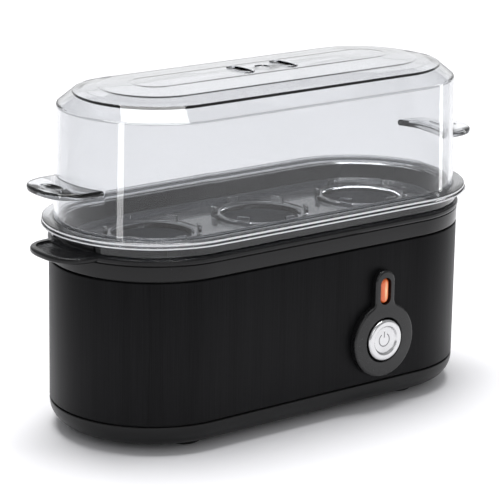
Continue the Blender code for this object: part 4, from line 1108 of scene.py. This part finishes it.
class EGG_OT_button_spring(PieceOperator, bpy.types.Operator):
    """Return spring round the button's stem"""

    bl_idname = "egg_cooker.button_spring"
    bl_label = "Button spring"

    def make(self, sizes, colours):
        wire, rear = SPRING_WIRE, SPRING_HIGH.y
        radius = (SPRING_HIGH.x - SPRING_LOW.x) / 2 - wire
        length = rear - SPRING_LOW.y
        pitch = (length - 2 * wire) / SPRING_TURNS
        sides = 12
        angles = [2 * math.pi * side / sides for side in range(sides)]
        ring = [(radius + wire * math.cos(angle), 0, wire * math.sin(angle)) for angle in angles]
        spring = draw_line("return_spring", ring, closed=True)
        apply_modifier(spring, "SCREW", axis="Z", steps=32, iterations=SPRING_TURNS, screw_offset=pitch * MM)
        edit(spring)
        bpy.ops.mesh.select_all(action="SELECT")
        bpy.ops.mesh.fill_holes(sides=sides)
        close_up()
        smooth(place(spring, front_face(BUTTON_X, BUTTON_Z, wire - rear - END_RADIUS)))
        finish(spring, plated_steel(), "base", ["button_spring"])
        BUTTON_X * MM
        BUTTON_Z * MM
        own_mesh(spring)


class EGG_OT_indicator_lens(PieceOperator, bpy.types.Operator):
    """Amber lens with a crowned front"""

    bl_idname = "egg_cooker.indicator_lens"
    bl_label = "Indicator lens"

    def make(self, sizes, colours):
        out = -END_RADIUS - LENS_LOW.y
        back = LENS_HIGH.y + END_RADIUS
        outline = slot_outline(LENS_HALF_LENGTH, LENS_HALF_WIDTH, 20)
        crown_foot = out - 0.3
        lens = plate("lens_body", outline, -SLEEVE_WALL - FIT - 0.5, crown_foot)
        edit(lens)
        select_where(lens, lambda p: p.z > crown_foot - NEAR)
        bpy.ops.mesh.bevel(offset=1.5 * MM, segments=6)
        leave_edit()
        wide = slot_outline(LENS_HALF_LENGTH + 1.6, LENS_HALF_WIDTH + 1.6)
        combine(lens, plate("lens_flange", wide, -back, -SLEEVE_WALL - FIT), "UNION")
        smooth(place(lens, front_face(BUTTON_X, LENS_Z)), 50)
        # The lens material paints a highlight stripe and a glow.
        look = look_of("amber_lens", amber_plastic, tuple(colours.amber), tuple(colours.highlight_amber))
        finish(lens, look, "base", ["indicator_lens"])


DISH_DEPTH = 13.9


class EGG_OT_heating_dish(PieceOperator, bpy.types.Operator):
    """Coated water dish with a rolled flange, round corners and two studs"""

    bl_idname = "egg_cooker.heating_dish"
    bl_label = "Heating dish"

    def make(self, sizes, colours):
        top, bottom = DISH_HIGH.z, DISH_HIGH.z - DISH_DEPTH
        flange = top - 0.9
        outer = DISH_HIGH.x - STRAIGHT - END_RADIUS
        wall, foot = -11.8, -13.6
        floor = bottom + 1.8
        sunk = floor - 0.3
        section = rounded(
            [
                (*on_middle(bottom), 0),
                (foot, bottom, 2.6),
                (wall, flange, 0.6),
                (outer, flange, 0.25),
                (outer, top, 0.35),
                (wall - 1.2, top, 1.4),
                (foot - 1.2, floor, 3.4),
                (-22, floor, 2),
                (-23, sunk, 2),
                (*on_middle(sunk), 0),
            ],
            steps=7,
        )
        dish = swept("dish_pan", section, closed=False, steps=56)
        stud_x = node_middle("clamp_nut_right")[0]
        for side in (-1, 1):
            combine(dish, rod(f"stud_{side}", 2.0, DISH_LOW.z, bottom + 0.9, side * stud_x), "UNION")
        smooth(dish, 40)
        look = look_of("dish_coating", coated_dish, tuple(colours.dish))
        finish(dish, look, "base", ["heating_dish"])


EGG_PITCH = 50.0
EGG_HOLE_RADIUS = 15.5
CROWN_IN, CROWN_OUT = 16.6, 18.2
CROWN_TABS = 6
TAB_HALF_WIDTH = 2.5
# Thickness of the painted rim light band, and how far it stays from the flange's corners.
RIM_LIGHT_BAND = 0.12
BAND_MARGIN = 0.25


def frosted_edge(name, colour):
    """Painted rim light: a pale, near-white skin on a clear flange's rim that stands in for the light the
    plastic carries to its edge and for highlights there.
    """
    look = Look(name)
    fine = look.noise(look.place((1, 1, 3)), 1.4, 2.0)
    look.set(
        Base_Color=look.blend(fine, tint(colour, 0.9), colour),
        Roughness=look.between(fine, 0.3, 0.7, 0.16, 0.3),
        Transmission_Weight=0.25,
        IOR=PLASTIC_IOR,
        Normal=look.bump(fine, 0.01),
    )
    return look.material


def rim_light_band(name, out, low, high, body):
    """A thin band of painted rim light round the upright rim of a clear flange."""
    inner, outer, lean = out + 0.02, out + RIM_LIGHT_BAND, 0.03
    low, high = low + BAND_MARGIN, high - BAND_MARGIN
    face = [(outer - lean, low), (outer, low + lean), (outer, high - lean), (outer - lean, high)]
    band = swept(name, [(inner, low), *face, (inner, high)], steps=56)
    # Near-white painted rim light.
    finish(band, look_of("frosted_edge", frosted_edge, (0.95, 0.95, 0.97)), body, [])


class EGG_OT_egg_tray(PieceOperator, bpy.types.Operator):
    """Clear tray with a flange, a skirt, a bead and a crown of tabs round each egg hole"""

    bl_idname = "egg_cooker.egg_tray"
    bl_label = "Egg tray"

    def make(self, sizes, colours):
        edge = sizes.clear_edge
        flange = TRAY_LOW.z + 6.6
        floor = TRAY_LOW.z + 1.5
        top = flange + 1.0
        bead = TRAY_HIGH.z
        # The flange stops short by the thickness of the painted rim light band.
        out = TRAY_HIGH.x - SLEEVE_HIGH.x - RIM_LIGHT_BAND
        section = rounded(
            [
                (*on_middle(TRAY_LOW.z), 0),
                (-7.5, TRAY_LOW.z, 1.6),
                (-4.5, flange, 0.8),
                (-1.8, flange, 0.3),
                (-1.8, RING_TOP + 0.6, 0.3),
                (-0.6, RING_TOP + 0.6, 0.3),
                (-0.6, flange, 0.3),
                (out, flange, edge),
                (out, top, edge),
                (-3.9, top, 0.2),
                (-3.9, bead, 0.35),
                (-4.9, bead, 0.35),
                (-4.9, top, 0.2),
                (-6, top, 0.8),
                (-9, floor, 1.6),
                (*on_middle(floor), 0),
            ],
            steps=4,
        )
        tray = swept("tray_body", section, closed=False, steps=56)
        near, far, half = CROWN_IN, CROWN_OUT - 0.1, TAB_HALF_WIDTH
        tab = [(near, -half), (far, -half), (far, half), (near, half)]
        for index, x in enumerate((-EGG_PITCH, 0, EGG_PITCH)):
            rim = soften(rod(f"crown_{index}", CROWN_OUT, floor - 0.7, floor + 1.3, x, 0, steps=72), 0.3, 2)
            for k in range(CROWN_TABS):
                lug = soften(plate(f"tab_{index}_{k}", tab, floor + 0.6, floor + 3.5), 0.45, 3)
                turn = Matrix.Rotation(2 * math.pi / CROWN_TABS * (k + 0.5), 4, "Z")
                combine(rim, place(lug, moved(x, 0, 0) @ turn), "UNION")
            combine(tray, rim, "UNION")
            hole = rod(f"egg_hole_{index}", EGG_HOLE_RADIUS, TRAY_LOW.z - 1, TRAY_HIGH.z, x, 0, steps=72)
            combine(tray, hole, "DIFFERENCE")
        half = 13
        for side in (-1, 1):
            near, far = sorted((side * (SLEEVE_HIGH.x - 4.35), side * (SLEEVE_HIGH.x + 0.5)))
            corners = [(near, -half), (far, -half), (far, half), (near, half)]
            combine(tray, plate(f"notch_{side}", corners, RING_TOP, flange + 0.1), "DIFFERENCE")
        smooth(tray)
        # A band of painted rim light round the tray's flange.
        rim_light_band("tray_rim_light", out, flange, top, "tray")
        finish(tray, clear_look(colours, "clear_tray", 16.0), "tray", ["egg_tray"])


LID_RIM = 2.6
LID_FOOT, LID_NECK = -1.7, -2.9
LID_CROWN = 3.5
LID_SHOULDER_WIDTH, LID_SHOULDER_HEIGHT = 6, 4.8
PANEL_OUT, PANEL_IN, PANEL_FLAT = -18, -24, -30
LID_GRIP_TOP = LID_LOW.z + 17.9
LID_GRIP_THICKNESS = 2.4
VENT_X, VENT_HALF_LENGTH, VENT_HALF_WIDTH = 10.2, 6, 2
VENT_RIM = 0.9


def lid_wall_at(height):
    """How far out the lid's leaning wall stands at a height."""
    share = (height - LID_LOW.z) / (LID_HIGH.z - LID_CROWN - LID_SHOULDER_HEIGHT - LID_LOW.z)
    return LID_FOOT + (LID_NECK - LID_FOOT) * share


class EGG_OT_lid(PieceOperator, bpy.types.Operator):
    """Clear lid with a creased shoulder, a crowned top, a sunk panel, two vents and two grips"""

    bl_idname = "egg_cooker.lid"
    bl_label = "Lid"

    def make(self, sizes, colours):
        low, top = LID_LOW.z, LID_HIGH.z
        wall, depth = sizes.lid_wall, sizes.panel_depth
        # The flange stops short by the thickness of the painted rim light band.
        flange_top, rim_out = low + 1.1, LID_RIM - RIM_LIGHT_BAND
        foot, neck = LID_FOOT, LID_NECK
        shoulder, shoulder_z = neck - LID_SHOULDER_WIDTH, top - LID_CROWN
        wall_top = shoulder_z - LID_SHOULDER_HEIGHT
        panel = top - depth
        round_out = sizes.shoulder_radius

        def crown(offset, drop, radius):
            """A corner on the crowned top, which rises from the shoulder to the middle line."""
            share = (END_RADIUS + offset) / (END_RADIUS + shoulder)
            return offset, top - LID_CROWN * share**2 - drop, radius

        inside = [
            (*on_middle(panel - wall), 0),
            crown(PANEL_FLAT, depth + wall, 20),
            crown(PANEL_IN - 0.2, depth + wall, 12),
            crown(PANEL_OUT + 0.2, wall, 12),
            crown(shoulder - 4, wall, 12),
            (shoulder - 0.6, shoulder_z - wall, round_out * 0.6),
            (neck - wall, wall_top - 0.9, round_out * 0.6),
            (foot - wall, low, 0.25),
        ]
        outside = [
            (rim_out, low, sizes.clear_edge),
            (rim_out, flange_top, sizes.clear_edge),
            (lid_wall_at(flange_top), flange_top, 0.4),
            (neck, wall_top, round_out),
            (shoulder, shoulder_z, round_out),
            crown(shoulder - 4, 0, 12),
            crown(PANEL_OUT, 0, 12),
            crown(PANEL_IN, depth, 12),
            crown(PANEL_FLAT, depth, 20),
            (*on_middle(panel), 0),
        ]
        section = rounded([*inside, *outside], steps=8)
        lid = swept("lid_body", section, closed=False, steps=64)
        grip_top, grip_foot = LID_GRIP_TOP, LID_GRIP_TOP - LID_GRIP_THICKNESS
        reach = LID_HIGH.x - GRIP_ROOT_X
        for side in (-1, 1):
            outline = grip_outline(side, 3.0, GRIP_ROOT_X, reach, GRIP_HALF_WIDTH)
            grip = soften(plate(f"lid_grip_{side}", outline, grip_foot, grip_top), sizes.grip_edge)
            deselect()
            bpy.ops.mesh.primitive_uv_sphere_add(segments=40, ring_count=20, radius=1)
            dimple = place(bpy.context.object, Matrix.Diagonal((3.2 * MM, 6 * MM, 1.5 * MM, 1)))
            place(dimple, moved(side * (LID_HIGH.x - 6.2), 0, grip_top + 0.4))
            combine(grip, dimple, "DIFFERENCE")
            combine(grip, hollow_core(wall), "DIFFERENCE")
            combine(lid, grip, "UNION")
        slot = slot_outline(VENT_HALF_LENGTH, VENT_HALF_WIDTH)
        rim_slot = slot_outline(VENT_HALF_LENGTH + VENT_RIM, VENT_HALF_WIDTH + VENT_RIM)
        for side in (-1, 1):
            stand = moved(side * VENT_X, 0, 0)
            rim = soften(plate(f"vent_rim_{side}", rim_slot, panel - 0.9, top), 0.3, 3)
            combine(lid, place(rim, stand), "UNION")
            vent = plate(f"vent_{side}", slot, panel - 4, panel + 2)
            combine(lid, place(vent, stand), "DIFFERENCE")
        over, under = panel + 1, panel - 0.5
        mark = [(0, over), (3, over), (3, panel - 0.1), (2.6, under), (0, under)]
        combine(lid, turned("mark", mark), "DIFFERENCE")
        smooth(lid)
        # A band of painted rim light round the lid's flange.
        rim_light_band("lid_rim_light", rim_out, low, flange_top, "lid")
        finish(lid, clear_look(colours), "lid", ["lid"])


def hollow_core(wall):
    """The upright space inside the lid's wall at the height of its grips."""
    low, high = LID_GRIP_TOP - 7.2, LID_GRIP_TOP + 2.8
    side = [(lid_wall_at(height) - wall, height) for height in (low, high)]
    return swept("lid_core", [on_middle(low), *side, on_middle(high)], closed=False, steps=64)


class EGG_OT_cord_gland(PieceOperator, bpy.types.Operator):
    """Rubber gland in the rear wall, with grip rings round its mouth"""

    bl_idname = "egg_cooker.cord_gland"
    bl_label = "Cord gland"

    def make(self, sizes, colours):
        radius = (GLAND_HIGH.x - GLAND_LOW.x) / 2
        top = GLAND_HIGH.y - END_RADIUS
        tail = GLAND_LOW.y - END_RADIUS
        bore = 3.2
        section = rounded(
            [
                (bore, tail, 0),
                (bore, top, 0.4),
                (4.2, top, 0.3),
                (4.5, top - 0.4, 0.15),
                (4.8, top, 0.3),
                (radius, top, 0.6),
                (radius, FIT, 0.2),
                (GLAND_NECK, FIT, 0),
                (GLAND_NECK, tail, 0.3),
            ],
            steps=3,
        )
        gland = turned("gland_body", [*section, section[0]], steps=56)
        place(gland, rear_face(GLAND_X, GLAND_Z))
        finish(gland, black_rubber(), "base", ["cord_gland"])


class EGG_OT_inner_parts(PieceOperator, bpy.types.Operator):
    """Finishes for the heater, the switch, the lamp and the wires, whose shapes come from the frame"""

    bl_idname = "egg_cooker.inner_parts"
    bl_label = "Inner parts"

    def make(self, sizes, colours):
        brass = look_of("brass", bare_metal, (0.62, 0.45, 0.17), 0.32)
        nylon = look_of("gland_nylon", moulded_plastic, (0.03, 0.03, 0.031), 0.48, 0.02)
        ceramic = look_of("ceramic", fired_ceramic, (0.78, 0.76, 0.70))
        brown = look_of("brown_wire", insulation, (0.11, 0.045, 0.018))
        blue = look_of("blue_wire", insulation, (0.02, 0.07, 0.32))
        green = look_of("green_wire", insulation, (0.06, 0.32, 0.05))
        looks = {
            "heating_element": look_of("heater_sheath", bare_metal, (0.42, 0.40, 0.38), 0.42),
            "dish_gasket": look_of("silicone", rubber, (0.28, 0.28, 0.28)),
            "neon_lamp": look_of("lamp_glass", clear_plastic, (0.95, 0.9, 0.85)),
            "thermal_fuse": look_of("fuse_silver", bare_metal, (0.7, 0.7, 0.7), 0.25),
        }
        groups = {
            plated_steel(): ["clamp_bar_left", "clamp_bar_right"],
            brass: ["clamp_nut_left", "clamp_nut_right", "earth_tab"],
            nylon: ["gland_nut", "lamp_holder", "switch_body"],
            ceramic: ["element_terminal_front", "element_terminal_rear", "thermostat", "terminal_block"],
            brown: ["wire_live", "wire_heater", "wire_link", "wire_lamp"],
            blue: ["wire_neutral", "wire_lamp_neutral"],
            green: ["wire_earth"],
        }
        for look, nodes in groups.items():
            looks.update((node, look) for node in nodes)
        for node, look in looks.items():
            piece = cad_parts[node]
            for slot in piece.material_slots:
                slot.material = look
            if not piece.material_slots:
                piece.data.materials.append(look)


# ---------------------------------------------------------------------------
# Stage
# ---------------------------------------------------------------------------


# Name, power in watts, side lengths, place and aim in metres
LAMPS = (
    ("overhead", 29, (1.1, 1.1), (0.08, 0.22, 1.6), (0, 0, 0)),
    ("back", 3, (2.0, 0.8), (1.0, 1.26, 0.5), (0, 0, 0.08)),
    ("front", 2.5, (0.7, 0.7), (-0.5, -1.4, 0.7), (0, 0, 0.06)),
)
STRIPS = (
    ("left_strip", 0.5, (0.05, 0.4), (-0.42, -0.12, 0.12), (-0.05, 0, 0.1)),
    ("right_strip", 0.4, (0.05, 0.4), (0.42, -0.12, 0.12), (0.05, 0, 0.1)),
)
FLOOR_RADIUS = 2.3


def area_lamp(name, power, size, stand, aim):
    """A lamp that stands at one point, shines at another and isn't seen itself."""
    lamp = bpy.data.lights.new(name, "AREA")
    lamp.shape = "RECTANGLE"
    lamp.size, lamp.size_y = size
    lamp.energy = power
    made = bpy.data.objects.new(name, lamp)
    bpy.context.scene.collection.objects.link(made)
    made.location = stand
    made.visible_camera = False
    made.rotation_euler = (Vector(aim) - Vector(stand)).to_track_quat("-Z", "Y").to_euler()
    return made


class EGG_OT_stage(bpy.types.Operator):
    """Pale floor, soft lamps and the camera"""

    bl_idname = "egg_cooker.stage"
    bl_label = "Stage"
    bl_options = {"REGISTER", "UNDO"}

    def execute(self, context):
        settings = context.scene.egg_cooker
        self.make_camera(context, settings.stage)
        self.make_floor(settings.colours)
        self.make_light(context, settings.stage.light)
        return {"FINISHED"}

    def make_camera(self, context, stage):
        back = Vector(
            (
                math.sin(stage.azimuth) * math.cos(stage.elevation),
                -math.cos(stage.azimuth) * math.cos(stage.elevation),
                math.sin(stage.elevation),
            )
        )
        right = (-back).cross(Vector((0, 0, 1))).normalized()
        up = back.cross(right)
        cosine, sine = math.cos(stage.roll), math.sin(stage.roll)
        across, rise = cosine * right + sine * up, cosine * up - sine * right
        camera = bpy.data.cameras.new("camera")
        camera.lens = stage.lens
        camera.shift_x, camera.shift_y = stage.shift
        camera.clip_start, camera.clip_end = 0.01, 100
        made = bpy.data.objects.new("camera", camera)
        made.matrix_world = Matrix((across, rise, back)).transposed().to_4x4()
        made.location = Vector(stage.target) + back * stage.distance
        context.scene.collection.objects.link(made)
        context.scene.camera = made

    def make_floor(self, colours):
        deselect()
        bpy.ops.mesh.primitive_circle_add(vertices=96, radius=FLOOR_RADIUS, fill_type="NGON")
        floor = bpy.context.object
        floor.name = "floor"
        floor.data.materials.append(look_of("floor", pale_floor, tuple(colours.floor)))
        floor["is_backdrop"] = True

    def make_light(self, context, strength):
        """A soft world that the camera sees as white, three lamps, and two strips for the clear pieces."""
        scene = context.scene
        world = bpy.data.worlds.new("studio")
        world.use_nodes = True
        nodes, links = world.node_tree.nodes, world.node_tree.links
        sky = nodes["Background"]
        sky.inputs["Color"].default_value = (0.97, 0.98, 1, 1)
        sky.inputs["Strength"].default_value = 0.42 * strength
        white = nodes.new("ShaderNodeBackground")
        white.inputs["Color"].default_value = (1, 1, 1, 1)
        seen = nodes.new("ShaderNodeLightPath").outputs["Is Camera Ray"]
        either = nodes.new("ShaderNodeMixShader")
        links.new(seen, either.inputs[0])
        links.new(sky.outputs[0], either.inputs[1])
        links.new(white.outputs[0], either.inputs[2])
        links.new(either.outputs[0], nodes["World Output"].inputs["Surface"])
        scene.world = world
        scene.view_settings.view_transform = "Standard"
        scene.view_settings.look = "None"
        clear_pieces = bpy.data.collections.new("clear_pieces")
        for name in ("lid_body", "tray_body"):
            clear_pieces.objects.link(bpy.data.objects[name])
        for name, power, size, stand, aim in LAMPS:
            area_lamp(name, power * strength, size, stand, aim)
        for name, power, size, stand, aim in STRIPS:
            strip = area_lamp(name, power * strength, size, stand, aim)
            strip.light_linking.receiver_collection = clear_pieces
            strip.visible_transmission = False


PIECES = (
    EGG_OT_lower_shell,
    EGG_OT_feet,
    EGG_OT_case_screws,
    EGG_OT_sleeve,
    EGG_OT_upper_ring,
    EGG_OT_control_plate,
    EGG_OT_power_button,
    EGG_OT_button_spring,
    EGG_OT_indicator_lens,
    EGG_OT_heating_dish,
    EGG_OT_egg_tray,
    EGG_OT_lid,
    EGG_OT_cord_gland,
    EGG_OT_inner_parts,
)


class EGG_PT_cooker(bpy.types.Panel):
    """Lists the cooker's pieces and settings"""

    bl_idname = "EGG_PT_cooker"
    bl_label = "Egg cooker"
    bl_space_type = "VIEW_3D"
    bl_region_type = "UI"
    bl_category = "Egg cooker"

    def draw(self, context):
        settings = context.scene.egg_cooker
        for group in (settings.sizes, settings.colours, settings.stage):
            box = self.layout.box()
            for name in group.bl_rna.properties.keys():
                if name not in ("rna_type", "name"):
                    box.prop(group, name)
        column = self.layout.column(align=True)
        for piece in (*PIECES, EGG_OT_stage):
            column.operator(piece.bl_idname)


CLASSES = (CookerSizes, CookerColours, CookerStage, EggCooker, *PIECES, EGG_OT_stage, EGG_PT_cooker)


def register():
    for item in CLASSES:
        bpy.utils.register_class(item)
    bpy.types.Scene.egg_cooker = bpy.props.PointerProperty(type=EggCooker)


def unregister():
    del bpy.types.Scene.egg_cooker
    for item in reversed(CLASSES):
        bpy.utils.unregister_class(item)


def corners(bounds):
    return [[round(value, 6) for value in corner] for corner in bounds]


def main():
    register()
    for piece in (*PIECES, EGG_OT_stage):
        getattr(bpy.ops.egg_cooker, piece.bl_idname.split(".")[1])()
    {"cad": corners(CAD_BOX), "visual": corners(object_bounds())}


if __name__ == "__main__":
    main()
